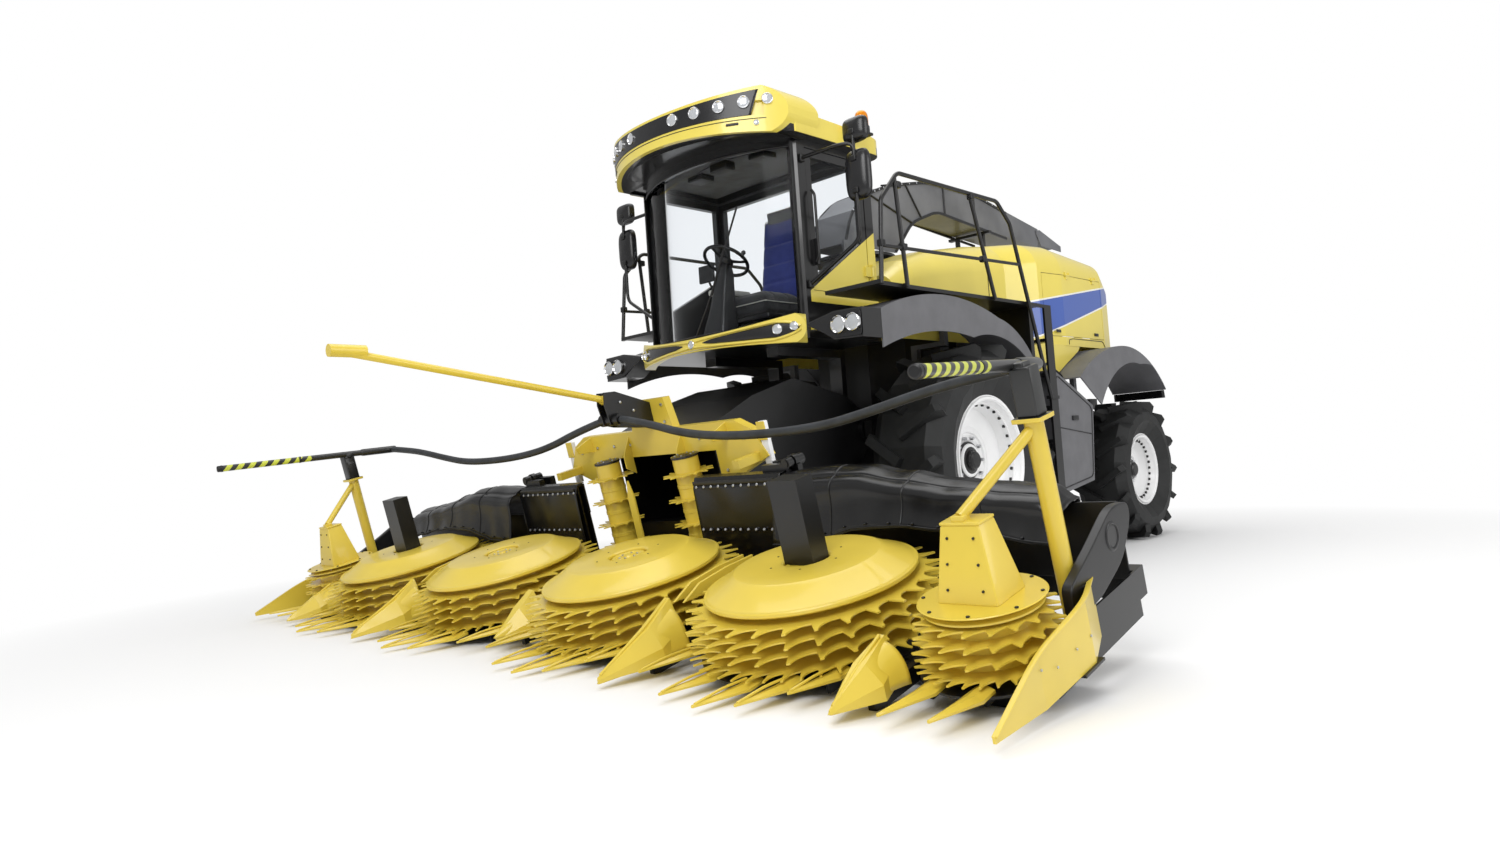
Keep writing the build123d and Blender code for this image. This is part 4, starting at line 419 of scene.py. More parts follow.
def skins(grids, wrap_u, wrap_v):
    """Quads over equal grids of points, (count, rows, columns, 3); a wrapped direction closes on itself."""
    count, rows, cols = grids.shape[:3]
    r = np.arange(rows if wrap_u else rows - 1)[:, None]
    c = np.arange(cols if wrap_v else cols - 1)[None, :]
    down, right = (r + 1) % rows, (c + 1) % cols
    corners = np.broadcast_arrays(r * cols + c, down * cols + c, down * cols + right, r * cols + right)
    one = np.stack(corners, -1).reshape(1, -1, 4)
    faces = one + np.arange(count)[:, None, None] * rows * cols
    return grids.reshape(-1, 3), faces.reshape(-1, 4)


def skin(points, wrap_u=False, wrap_v=False):
    """Quads over one grid of points, (rows, columns, 3)."""
    return skins(points[None], wrap_u, wrap_v)


def closed_ends(grids):
    """Grids of rings, (count, rows, columns, 3), with a row gathered to its middle put before and after."""
    first = np.broadcast_to(grids[:, :1].mean(2, keepdims=True), grids[:, :1].shape)
    last = np.broadcast_to(grids[:, -1:].mean(2, keepdims=True), grids[:, -1:].shape)
    return np.concatenate([first, grids, last], 1)


def tube(rings):
    """Closed skin over rings of points, (rows, columns, 3), with its two ends filled."""
    return skins(closed_ends(rings[None]), False, True)


def circle(radius, steps):
    """Points round a circle: radius times (cos t, sin t)."""
    t = np.linspace(0, 2 * np.pi, steps, endpoint=False)
    return radius * np.stack([np.cos(t), np.sin(t)], -1)


def squircle(steps):
    """Points round the superellipse a^4 + b^4 = 1."""
    ring = circle(1.0, steps)
    return np.sign(ring) * np.abs(ring) ** 0.5


def spread(axis, steps):
    """Unit axis, and the unit directions square to it, evenly round it."""
    axis = np.asarray(Vector(axis).normalized())
    side = np.cross(axis, (1.0, 0.0, 0.0) if abs(axis[0]) < 0.8 else (0.0, 0.0, 1.0))
    side /= np.linalg.norm(side)
    ring = circle(1.0, steps)
    return axis, ring[:, :1] * side + ring[:, 1:] * np.cross(axis, side)


def turned(profile, centre, axis, steps, ring=False):
    """(radius, height) profile turned about an axis: centre + r cos t side + r sin t across + h axis."""
    axis, out = spread(axis, steps)
    profile = np.asarray(profile, float)
    points = np.asarray(centre) + profile[:, None, :1] * out[None] + profile[:, None, 1:] * axis
    return skin(points, ring, True)


def upright(profile, x, v, steps, ring=False):
    """(radius, w) profile turned about an upright axis of the header at x, v."""
    profile = np.asarray(profile, float)
    out = circle(1.0, steps)
    r, w = profile[:, None, 0], profile[:, None, 1]
    return skin(header(grid(x + r * out[:, 0], v + r * out[:, 1], w)), ring, True)


def bent(points, radius, steps=6):
    """Path with rounded corners: there it is (1-t)^2 a + 2t(1-t) corner + t^2 b, a and b being radius away."""
    p = np.asarray(points, float)
    way = np.diff(p, axis=0)
    length = np.linalg.norm(way, axis=1, keepdims=True)
    way /= length
    reach = np.minimum(radius, 0.49 * np.minimum(length[:-1], length[1:]))
    a, b = p[1:-1] - way[:-1] * reach, p[1:-1] + way[1:] * reach
    t = np.linspace(0, 1, steps)[None, :, None]
    arcs = (1 - t) ** 2 * a[:, None] + 2 * t * (1 - t) * p[1:-1, None] + t ** 2 * b[:, None]
    return np.concatenate([p[:1], arcs.reshape(-1, p.shape[1]), p[-1:]])


def rounded(outline, radius, steps=5):
    """Closed outline with each corner rounded in the same way as a bent path."""
    p = np.asarray(outline, float)
    middle = (p[:1] + p[-1:]) / 2
    return bent(np.concatenate([middle, p, middle]), radius, steps)[:-1]


def carried(path, section, up=(0, 0, 1), size=None):
    """Section carried along a path: path + size (a side + b over), side being square to the path and to up."""
    path, section = np.asarray(path, float), np.asarray(section, float)
    along = np.gradient(path, axis=0)
    along /= np.linalg.norm(along, axis=1, keepdims=True)
    side = np.cross(along, up)
    side /= np.linalg.norm(side, axis=1, keepdims=True)
    above = np.cross(side, along)
    scale = np.ones((len(path), 1)) if size is None else np.asarray(size, float).reshape(len(path), -1)
    a, b = section[:, 0] * scale[:, :1], section[:, 1] * scale[:, -1:]
    points = path[:, None] + a[..., None] * side[:, None] + b[..., None] * above[:, None]
    return tube(points)


def slab(a, b, radius, steps=5):
    """Rectangular section of half sizes a and b with rounded corners."""
    return rounded([(-a, -b), (a, -b), (a, b), (-a, b)], radius, steps)


def rod(points, radius, bend=0.06, up=(0, 0, 1), steps=12):
    """Round bar through the points, with rounded corners."""
    path = bent(points, bend) if len(points) > 2 else np.asarray(points, float)
    return carried(path, circle(radius, steps), up)


def soft_box(low, high, radius, place=machine):
    """Box with round edges: a rounded rectangle drawn in by r(1 - sin a) as it rises through r cos a."""
    low, high = np.minimum(low, high).astype(float), np.maximum(low, high).astype(float)
    radius = min(radius, 0.49 * float((high - low).min()))
    quarter = np.linspace(0, np.pi / 2, 5)
    turn = (quarter[None] + np.arange(4)[:, None] * np.pi / 2).reshape(-1)
    corner = np.repeat([[1, 1], [-1, 1], [-1, -1], [1, -1]], len(quarter), axis=0)
    middle, half = (low + high) / 2, (high - low) / 2 - radius
    inset = radius * np.concatenate([np.sin(quarter), np.sin(quarter)[::-1]])
    height = np.concatenate([-half[2] - radius * np.cos(quarter), half[2] + radius * np.cos(quarter)[::-1]])
    ring = corner[None] * half[:2] + inset[:, None, None] * np.stack([np.cos(turn), np.sin(turn)], -1)[None]
    return tube(place(grid(ring[..., 0], ring[..., 1], height[:, None]) + middle))


def prism(outline, low, high, place):
    """Flat outline of (a, b) points drawn through from depth low to high; place takes (a, b, depth) points."""
    outline = np.asarray(outline, float)
    count = len(outline)
    local = np.column_stack([np.tile(outline, (2, 1)), np.repeat([low, high], count)])
    here, after = np.arange(count), (np.arange(count) + 1) % count
    sides = np.column_stack([here, after, after + count, here + count]).tolist()
    return place(local), sides + [here[::-1].tolist(), (here + count).tolist()]


def cab(local):
    """Frame points of (x, station, height over the cab's floor) points."""
    return machine(local) + (0.0, 0.0, CAB_FLOOR)


def side_line(x, *spots):
    """Frame points at one x through (station, height) spots."""
    return machine([(x, s, z) for s, z in spots])


def side_view(local):
    """Frame points of (station, height, x) points."""
    return machine(np.asarray(local, float)[..., [2, 0, 1]])


def front_view(local):
    """Frame points of (x, height, station) points."""
    return machine(np.asarray(local, float)[..., [0, 2, 1]])


def header_side(local):
    """Frame points of (v, w, x) points."""
    return header(np.asarray(local, float)[..., [2, 0, 1]])


def studs(spots, axis, radius, height):
    """Many short bolt heads at the spots: a six-sided prism each, with a narrower end."""
    spots = np.asarray(spots, float).reshape(-1, 3)
    axis, out = spread(axis, 6)
    rows = np.array([(radius, -0.2 * height), (radius, 0.8 * height), (0.7 * radius, height)])
    one = rows[:, None, :1] * out[None] + rows[:, None, 1:] * axis
    return skins(closed_ends(spots[:, None, None] + one[None]), False, True)


def eased(at, knots, values):
    """Smooth run through values at knots: between two of them it follows t^2 (3 - 2t)."""
    knots, values = np.asarray(knots, float), np.asarray(values, float)
    i = np.clip(np.searchsorted(knots, at) - 1, 0, len(knots) - 2)
    t = np.clip((at - knots[i]) / (knots[i + 1] - knots[i]), 0, 1)
    t = t * t * (3 - 2 * t)
    return values[i] + (values[i + 1] - values[i]) * t


def piece(name, parts, finish, body, hides=(), wall=0.0, bevel=0.0, sharp=35.0):
    """Join parts into one mesh with outward faces, finish it, and let it ride on a body.

    wall thickens an open sheet, bevel rounds hard edges, and edges steeper than sharp degrees stay sharp.
    """
    points, faces, start = [], [], 0
    for spots, quads in parts:
        points.append(spots)
        whole = isinstance(quads, np.ndarray)
        faces += (quads + start).tolist() if whole else [[k + start for k in face] for face in quads]
        start += len(spots)
    mesh = bpy.data.meshes.new(name)
    mesh.from_pydata(np.concatenate(points).tolist(), [], faces)
    work = bmesh.new()
    work.from_mesh(mesh)
    bmesh.ops.remove_doubles(work, verts=work.verts, dist=2e-5)
    bmesh.ops.recalc_face_normals(work, faces=work.faces)
    work.to_mesh(mesh)
    work.free()
    mesh.shade_smooth()
    mesh.set_sharp_from_angle(angle=math.radians(sharp))
    mesh.materials.append(FINISHES[finish])
    made = bpy.data.objects.new(name, mesh)
    bpy.context.scene.collection.objects.link(made)
    if wall:
        thick = made.modifiers.new("wall", "SOLIDIFY")
        thick.thickness, thick.offset = wall, 0.0
    if bevel:
        soft = made.modifiers.new("bevel", "BEVEL")
        soft.width, soft.segments, soft.limit_method = bevel, 3, "ANGLE"
        soft.angle_limit = math.radians(38)
        soft.harden_normals = True
    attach(made, body)
    if hides:
        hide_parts(*hides)
    return made


# ---------------------------------------------------------------- camera and stage
CAMERA_AT = (5.588, -6.784, 1.110)
CAMERA_TURN = math.radians(44.2)
CAMERA_TILT = math.radians(-2.45)
CAMERA_ROLL = math.radians(-4.02)
CAMERA_LENS = 22.95


def make_camera():
    """Camera at standing height off the header's left front corner, turned, tilted and rolled."""
    data = bpy.data.cameras.new("camera")
    data.lens = CAMERA_LENS
    data.sensor_width = 36.0
    data.clip_end = 200.0
    camera = bpy.data.objects.new("camera", data)
    bpy.context.scene.collection.objects.link(camera)
    back = Vector((math.sin(CAMERA_TURN) * math.cos(CAMERA_TILT),
                   -math.cos(CAMERA_TURN) * math.cos(CAMERA_TILT), math.sin(CAMERA_TILT)))
    right = Vector((0, 0, 1)).cross(back).normalized()
    up = back.cross(right)
    across = right * math.cos(CAMERA_ROLL) + up * math.sin(CAMERA_ROLL)
    above = up * math.cos(CAMERA_ROLL) - right * math.sin(CAMERA_ROLL)
    camera.matrix_world = Matrix((across, above, back)).transposed().to_4x4()
    camera.location = CAMERA_AT
    bpy.context.scene.camera = camera


# x and height of a hose's route, from the boom's bracket to the striped bar's rear end
HOSE_ROUTE = ((0.116, 1.490), (0.400, 1.440), (0.790, 1.340), (1.170, 1.295), (1.600, 1.280), (2.040, 1.292),
              (2.380, 1.346), (2.710, 1.408), (2.990, 1.450), (3.3453, 1.4832))
HOSE_FROM, HOSE_TO = 0.514, 0.434     # stations of its two ends


def make_hose(side, label, radius):
    """Hanging hose: a smooth curve through the solid's own route."""
    data = bpy.data.curves.new(f"hose_{label}_run", "CURVE")
    data.dimensions = "3D"
    line = data.splines.new("NURBS")
    line.points.add(len(HOSE_ROUTE) - 1)
    for knot, (x, z) in zip(line.points, HOSE_ROUTE):
        station = HOSE_FROM + (HOSE_TO - HOSE_FROM) * x / HOSE_ROUTE[-1][0]
        knot.co = (side * x, ROTOR_Y + station, z, 1.0)
    line.order_u = 3
    line.use_endpoint_u = True
    data.bevel_depth = radius
    data.bevel_resolution = 4
    data.resolution_u = 8
    data.use_fill_caps = True
    data.materials.append(FINISHES["hose"])
    hose = bpy.data.objects.new(f"hose_{label}_run", data)
    bpy.context.scene.collection.objects.link(hose)
    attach(hose, "header")
    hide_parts(f"hose_{label}")


def soft_light(name, place, aim, size, power):
    """Square studio panel that faces a point."""
    data = bpy.data.lights.new(name, "AREA")
    data.size = size
    data.energy = power
    lamp = bpy.data.objects.new(name, data)
    lamp.location = place
    lamp.rotation_euler = (Vector(aim) - Vector(place)).to_track_quat("-Z", "Y").to_euler()
    bpy.context.scene.collection.objects.link(lamp)


def make_stage(sizes):
    """Pale floor that fades to white, a white world and soft panels."""
    world = bpy.data.worlds.new("studio_world")
    bpy.context.scene.world = world
    tree = emptied(world)
    rays = add(tree, "ShaderNodeLightPath")
    lit = add(tree, "ShaderNodeBackground", {"Color": WHITE, "Strength": sizes.world_light})
    seen = add(tree, "ShaderNodeBackground", {"Color": WHITE, "Strength": 1.0})
    shown = maths(tree, "MAXIMUM", rays.outputs["Is Camera Ray"], rays.outputs["Is Transmission Ray"])
    mix = add(tree, "ShaderNodeMixShader", {0: shown, 1: lit.outputs[0], 2: seen.outputs[0]})
    add(tree, "ShaderNodeOutputWorld", {"Surface": mix.outputs[0]})

    rim = np.column_stack([circle(40.0, 48), np.zeros(48)])
    mesh = bpy.data.meshes.new("floor")
    mesh.from_pydata(rim.tolist(), [], [list(range(48))])
    floor = bpy.data.objects.new("floor", mesh)
    bpy.context.scene.collection.objects.link(floor)
    made, tree, shader = new_material("white_studio_paper")
    shader.inputs["Base Color"].default_value = linear("#f4f4f4")
    shader.inputs["Roughness"].default_value = 0.9
    far = add(tree, "ShaderNodeVectorMath", {0: placed(tree)}, operation="LENGTH")
    fade = add(tree, "ShaderNodeMapRange", {"Value": far.outputs["Value"], "From Min": 5.0, "From Max": 8.0})
    rays = add(tree, "ShaderNodeLightPath")
    blend = maths(tree, "MULTIPLY", fade.outputs[0], rays.outputs["Is Camera Ray"])
    plain = add(tree, "ShaderNodeEmission", {"Color": WHITE, "Strength": 1.0})
    mix = add(tree, "ShaderNodeMixShader", {0: blend, 1: shader.outputs[0], 2: plain.outputs[0]})
    output = next(n for n in tree.nodes if n.type == "OUTPUT_MATERIAL")
    tree.links.new(mix.outputs[0], output.inputs["Surface"])
    mesh.materials.append(made)

    soft_light("key_panel", (5.5, -9.5, 8.0), (0, -1, 1), 6.0, sizes.key_light)
    soft_light("top_panel", (-1.0, 0.5, 11.0), (0, 0.5, 1), 9.0, 0.8 * sizes.key_light)
    soft_light("side_panel", (11.0, 2.0, 5.0), (0, 1, 1.5), 6.0, 0.5 * sizes.key_light)


# ---------------------------------------------------------------- header
PITCH = 1.5                       # between the large rotors, and x of the dividers between centre and wing
END_DIVIDER_X = 2.975
SMALL_X, SMALL_V = 3.355, -0.15
DRUM_X, DRUM_V = 0.455, 0.908


def ring_spots(radius, count, x, v, w, turn=0.0):
    """Header points evenly round a circle about an upright axis."""
    t = turn + 2 * np.pi * np.arange(count) / count
    return header(grid(x + radius * np.cos(t), v + radius * np.sin(t), w))


def make_large_rotor(body, x, hub):
    """Cap of a large rotor: a dome with a sunk middle, a steep skirt and a rolled rim, a hub and bolts."""
    shell = [(0.119, 0.0015), (0.123, 0.0130), (0.130, 0.0190), (0.140, 0.0215), (0.250, 0.0245),
             (0.372, 0.0225), (0.394, 0.0190), (0.412, 0.0110), (0.425, 0.0020), (0.540, -0.0565),
             (0.556, -0.0620), (0.5700, -0.0650), (0.5730, -0.0690), (0.5730, -0.0830), (0.5660, -0.0905)]
    piece(f"{body}_cap_skin", [upright(shell, x, 0, 120)], "header_paint", body, wall=0.0015, sharp=12.0)
    rows = [(0.0, 0.004), (0.020, 0.004), (0.024, 0.0015), (0.090, 0.0015), (0.096, 0.006), (0.112, 0.006),
            (0.118, 0.0)]
    if hub:
        rows = [(0.0, 0.016), (0.030, 0.015), (0.036, 0.005), (0.078, 0.004), (0.084, 0.010), (0.104, 0.010),
                (0.110, 0.0)]
    piece(f"{body}_hub", [upright(rows, x, 0, 48)], "header_paint", body)
    bolts = studs(ring_spots(0.058, 6, x, 0, 0.004), LEAN_UP, 0.0085, 0.009)
    piece(f"{body}_hub_bolts", [bolts], "steel", body)
    seams = studs(ring_spots(0.200, 6, x, 0, 0.0232), LEAN_UP, 0.006, 0.003)
    drum = studs(ring_spots(0.437, 24, x, 0, -0.150), LEAN_UP, 0.006, 0.004)
    piece(f"{body}_bolts", [seams, drum], "black_paint", body)


def make_small_rotor(body, side):
    """Bead and bolts on a small rotor's low cap."""
    x, v = side * SMALL_X, SMALL_V
    bead = [(0.094, -0.083), (0.160, -0.0885), (0.248, -0.0985), (0.263, -0.106), (0.264, -0.113),
            (0.258, -0.115)]
    piece(f"{body}_cap_skin", [upright(bead, x, v, 80)], "header_paint", body, wall=0.0015)
    piece(f"{body}_bolts", [studs(ring_spots(0.215, 8, x, v, -0.0945), LEAN_UP, 0.008, 0.007)], "steel", body)


def make_drum(body, side):
    """Dark cap plate, wear band and bolts of a feed drum."""
    x = side * DRUM_X
    plate = [(0.0, 0.4505), (0.040, 0.4505), (0.046, 0.4465), (0.094, 0.4465), (0.102, 0.4440), (0.102, 0.4300),
             (0.097, 0.4270)]
    piece(f"{body}_cap", [upright(plate, x, DRUM_V, 48)], "band", body)
    bolts = studs(ring_spots(0.070, 6, x, DRUM_V, 0.447), LEAN_UP, 0.007, 0.007)
    piece(f"{body}_bolts", [bolts], "steel", body)
    bands = [upright([(0.0955, w), (0.099, w + 0.004), (0.099, w + 0.026), (0.0955, w + 0.030)], x, DRUM_V, 48)
             for w in (-0.150, 0.030, 0.210)]
    piece(f"{body}_bands", bands, "header_paint", body)


# x, top w, foot w of a wing hood's sections; the front foot lies at v 0.535
COVER_X = (1.508, 1.800, 1.940, 2.160, 2.440, 2.760, 3.050, 3.270, 3.390)
COVER_TOP = (0.300, 0.318, 0.319, 0.309, 0.258, 0.199, 0.169, 0.150, 0.075)
COVER_FOOT = (-0.110, -0.100, -0.060, -0.004, 0.012, -0.010, -0.045, -0.075, -0.090)


def make_wing_cover(side, label):
    """Rubber hood behind a wing's rotors: a sheet with a smooth run of heights and a front that rolls over.

    Across it, with t from 0 at the foot to 1 at the back edge, v and w ease through a foot, a bulge, a crown
    and a lip, and slow waves of a few millimetres run down the slope.
    """
    x = np.linspace(COVER_X[0], COVER_X[-1], 72)[:, None]
    t = np.linspace(0, 1, 44)[None, :]
    top, foot = eased(x, COVER_X, COVER_TOP), eased(x, COVER_X, COVER_FOOT)
    share = eased(t, (0, 0.10, 0.55, 0.78, 1.0), (0.0, 0.10, 0.90, 1.0, 0.985))
    v = eased(t, (0, 0.10, 0.40, 0.62, 0.80, 1.0), (0.535, 0.542, 0.600, 0.690, 0.770, 0.835))
    wave = 0.004 * np.sin(9.0 * x + 3.0 * t) * np.sin(np.pi * t) + 0.0025 * np.sin(23.0 * x - 5.0 * t)
    w = foot + (top - foot) * share + wave
    local = grid(side * x, v - 0.5 * wave, w)
    back = np.repeat(local[:, -1:] + (0.0, 0.004, -0.02), 2, 1)
    back[:, 1] = np.minimum(back[:, 1], (9.0, 0.835, 0.045))
    sheet = skin(header(np.concatenate([local, back], 1)))
    piece(f"wing_cover_{label}", [sheet], "cover", f"wing_{label}", (f"wing_hood_{label}",), wall=0.010)
    edge = np.concatenate([local[::3, 1], local[-1:, 1]]) + (0.0, -0.007, 0.012)
    seam = carried(header(edge), circle(0.006, 8), LEAN_UP)
    ribs = [carried(header(local[i, 2:-3] + (0.0, -0.004, 0.004)), circle(0.0055, 8), (1, 0, 0))
            for i in (18, 37, 55)]
    rivets = header(local[4::6, 3] + (0.0, -0.009, 0.010))
    skirt = soft_box((side * 1.535, 0.786, -0.335), (side * 3.600, 0.797, 0.060), 0.004, header)
    piece(f"wing_cover_{label}_seams", [seam, *ribs, skirt], "trim", f"wing_{label}")
    piece(f"wing_cover_{label}_rivets", [studs(rivets, (0, -0.6, 0.8), 0.009, 0.007)], "black_paint",
          f"wing_{label}")


TOWER_FOOT, TOWER_TALL = -0.075, 0.341           # w of a tower's foot, and its height
TOWER_HALF = ((0.150, 0.125), (0.095, 0.065))    # half sizes of its section at the foot and at the top
BAR_RADIUS, SLEEVE_RADIUS = 0.027, 0.033


def tower_half(w):
    """Half sizes of a tower's section at w: they run straight from foot to top."""
    foot, top = np.array(TOWER_HALF)
    rise = (w - TOWER_FOOT) / TOWER_TALL
    return (1 - rise) * foot + rise * top


def bar_ends(side):
    """Rear and front end of a striped bar's middle line, in the header's own frame."""
    return np.array([(side * 3.390, 0.662, 0.794), (side * 3.705, -0.820, 1.015)])


def make_guard_bar(side, label):
    """Striped guard bar on its post, brace and tower."""
    w = np.array([TOWER_FOOT, -0.068, 0.256, TOWER_FOOT + TOWER_TALL])[:, None]
    half = tower_half(w) - [[0.006], [0.0], [0.0], [0.006]]
    ring = slab(1, 1, 0.09)
    tower = grid(side * SMALL_X + half[:, :1] * ring[:, 0], SMALL_V + half[:, 1:] * ring[:, 1], w)
    ends = bar_ends(side)
    sleeve = ends[:1] + (ends[1:] - ends[:1]) * np.array([[0.0], [0.01], [0.20], [0.21]])
    parts = [tube(header(tower)),
             rod(header([(side * 3.556, 0.244, -0.428), (side * 3.539, 0.244, 0.612)]), 0.044, up=(0, 1, 0)),
             soft_box((side * 3.469, 0.174, 0.610), (side * 3.609, 0.314, 0.622), 0.004, header),
             soft_box((side * 3.489, 0.194, 0.620), (side * 3.589, 0.294, 0.845), 0.010, header),
             soft_box((side * 3.446, 0.204, 0.822), (side * 3.560, 0.284, 0.866), 0.010, header),
             soft_box((side * 3.310, -0.205, 0.262), (side * 3.375, -0.145, 0.300), 0.006, header),
             rod(header([(side * 3.345, -0.175, 0.290), (side * 3.530, 0.215, 0.560)]), 0.026),
             rod(header(ends), BAR_RADIUS, steps=24),
             carried(header(sleeve), circle(1.0, 24), size=[0.030, SLEEVE_RADIUS, SLEEVE_RADIUS, 0.030])]
    piece(f"striped_bar_{label}", parts, "bar_paint", f"wing_{label}", (f"guard_bar_{label}",))


def make_end_cover(side, label):
    """Rounded moulded cover on a wing's outer end, with its round service hole and rim."""
    outline = rounded([(0.080, -0.270), (0.330, -0.270), (0.640, -0.180), (0.790, -0.020), (0.790, 0.060),
                       (0.620, 0.090), (0.380, -0.010), (0.080, -0.120)], 0.09)
    cover = prism(outline, side * 3.600, side * 3.652, header_side)
    spot = header([side * 3.652, 0.560, -0.040])
    lip = turned([(0.052, -0.004), (0.052, 0.006), (0.070, 0.006), (0.074, -0.004)], spot, (side, 0, 0), 32)
    hole = turned([(0.0, 0.001), (0.051, 0.001), (0.0515, -0.004)], spot, (side, 0, 0), 32)
    piece(f"end_cover_{label}", [cover, lip], "trim", f"wing_{label}", bevel=0.014)
    piece(f"end_cover_{label}_hole", [hole], "black_paint", f"wing_{label}")


def make_aprons():
    """Rubber aprons behind the centre rotors: a waved sheet over the solid's, riveted at its top and bends."""
    for side, label in SIDES:
        x = np.linspace(0.690, 1.492, 40)[:, None]
        t = np.linspace(0, 1, 36)[None, :]
        w = eased(t, (0, 0.72, 0.86, 1.0), (-0.325, 0.240, 0.306, 0.308))
        v = eased(t, (0, 0.72, 0.86, 1.0), (0.700, 0.716, 0.745, 0.812))
        wave = 0.007 * np.sin(15 * x + 2 * t) * np.sin(np.pi * np.clip(t / 0.8, 0, 1))
        sheet = skin(header(grid(side * x, v + wave, w)))
        piece(f"apron_{label}", [sheet], "cover", "header", wall=0.007)
        along = np.linspace(0.72, 1.44, 11)
        high, low = grid(side * along, 0.722, 0.245), grid(side * along, 0.700, -0.05)
        rivets = studs(header(np.concatenate([high, low])), (0, -1, 0.2), 0.011, 0.012)
        piece(f"apron_{label}_rivets", [rivets], "steel", "header")
        strip = soft_box((side * 0.700, 0.703, 0.262), (side * 1.460, 0.712, 0.290), 0.004, header)
        piece(f"apron_{label}_strip", [strip], "black_paint", "header")


def make_splitter():
    """Golden splitter plate between the feed drums, with the two yellow tower plates behind it."""
    plate = prism(rounded([(-0.035, -0.30), (0.035, -0.30), (0.035, 0.20), (0.0, 0.33), (-0.035, 0.20)], 0.012),
                  0.700, 0.716, lambda p: header(np.asarray(p)[..., [0, 2, 1]]))
    piece("splitter", [plate], "header_paint", "header", bevel=0.003)
    inner = [(1.052, 0.30), (0.965, 0.36), (0.965, 0.46), (1.052, 0.60)]
    outer = [(1.052, 0.50), (0.900, 0.52), (0.880, 0.57), (1.052, 0.625)]
    ribs = [prism(outline, side * near, side * far, header_side) for side in (1, -1)
            for outline, near, far in ((inner, 0.300, 0.314), (outer, 0.780, 0.792))]
    piece("arch_ribs", ribs, "header_paint", "header", bevel=0.003)
    half = ((0.30, 0.53), (0.50, 0.53), (0.72, 0.53), (0.72, 0.28), (0.72, 0.0), (0.72, -0.3), (0.94, 0.50))
    spots = [(x, 1.050, w) for x in (-0.17, 0.17) for w in (0.68, 0.81)]
    spots += [(side * x, 1.050, w) for side in (1, -1) for x, w in half]
    piece("arch_bolts", [studs(header(spots), LEAN_FRONT, 0.013, 0.012)], "steel", "header")


def make_bridge():
    """Folded yellow cover plates that bridge the slits between the header's sections."""
    outline = [(-0.300, -0.150), (-0.150, -0.085), (0.080, -0.070), (0.300, -0.075), (0.300, -0.145),
               (0.080, -0.175)]
    for side, label in SIDES:
        for part, body, x in (("inner", "header", 1.452), ("outer", f"wing_{label}", 1.530)):
            plate = prism(outline, side * x, side * (x + 0.018), header_side)
            piece(f"bridge_{label}_{part}", [plate], "header_paint", body, bevel=0.003)


def make_points():
    """Round crop rods that run back from the tips of the crop points and dividers."""
    tips = ((-0.570, -0.800), (-0.220, -0.970), (0.065, -1.020), (0.270, -0.950), (0.440, -0.780))
    groups = {"header": [], "wing_left": [], "wing_right": []}
    for side, label in SIDES:
        for centre, group in ((0.5 * PITCH, "header"), (1.5 * PITCH, f"wing_{label}")):
            for x, v in tips:
                foot = side * (centre + x)
                groups[group].append(rod(header([(foot, v + 0.02, -0.316), (foot, v + 0.20, -0.322),
                                                 (foot, v + 0.36, -0.345)]), 0.007, 0.05, LEAN_UP, 8))
        for group, x, line in ((f"wing_{label}", END_DIVIDER_X,
                                ((-0.82, -0.322), (-0.55, -0.216), (-0.43, -0.172))),
                               ("header", PITCH, ((-0.91, -0.308), (-0.56, -0.184), (-0.38, -0.100)))):
            groups[group].append(rod(header([(side * x, v, w) for v, w in line]), 0.009, 0.05, LEAN_UP, 8))
    for group, rods in groups.items():
        piece(f"crop_rods_{group}", rods, "header_paint", group)


def make_dividers():
    """Smooth half-cone dividers between the rotors: round-topped sections that swell from a tip to an open end.

    With t from 0 at the tip to 1 at the end, the half width is b t^0.8 and the height h t^0.9; a section is
    (cos a, sin a^0.8) of them.
    """
    for name, body, x, v0, v1, half, tall in (
            ("divider_middle", "header", 0.0, -0.640, -0.300, 0.126, 0.205),
            ("divider_left", "header", PITCH, -0.945, -0.385, 0.116, 0.250),
            ("divider_right", "header", -PITCH, -0.945, -0.385, 0.116, 0.250),
            ("divider_end_left", "wing_left", END_DIVIDER_X, -0.860, -0.425, 0.114, 0.190),
            ("divider_end_right", "wing_right", -END_DIVIDER_X, -0.860, -0.425, 0.114, 0.190)):
        t = np.linspace(0.015, 1, 28)[:, None]
        a = np.linspace(0, np.pi, 25)[None, :]
        wide = half * t ** 0.8 * (1 + 0.06 * np.clip(t - 0.9, 0, 1) / 0.1)
        w = -0.386 + 0.040 * (1 - t) + tall * t ** 0.9 * np.sin(a) ** 0.8
        local = grid(x + wide * np.cos(a), v0 + (v1 - v0) * t, w)
        piece(name, [skin(header(local))], "header_paint", body, wall=0.004)


def make_shield(side, label):
    """Rolled top flange, seam bolts and cap of an end shield."""
    path = header([(side * 3.742, -0.845, -0.326), (side * 3.722, -0.420, -0.196),
                   (side * 3.730, 0.030, -0.146), (side * 3.640, 0.298, -0.146)])
    flange = carried(bent(path, 0.12), slab(0.012, 0.004, 0.003, 3), LEAN_UP)
    bolts = header([(side * 3.733, v, -0.30) for v in (-0.30, -0.12, 0.02)] + [(side * 3.728, -0.42, -0.26)])
    piece(f"shield_{label}_flange", [flange], "header_paint", f"wing_{label}")
    piece(f"shield_{label}_bolts", [studs(bolts, (side, 0, 0), 0.006, 0.005)], "steel", f"wing_{label}")


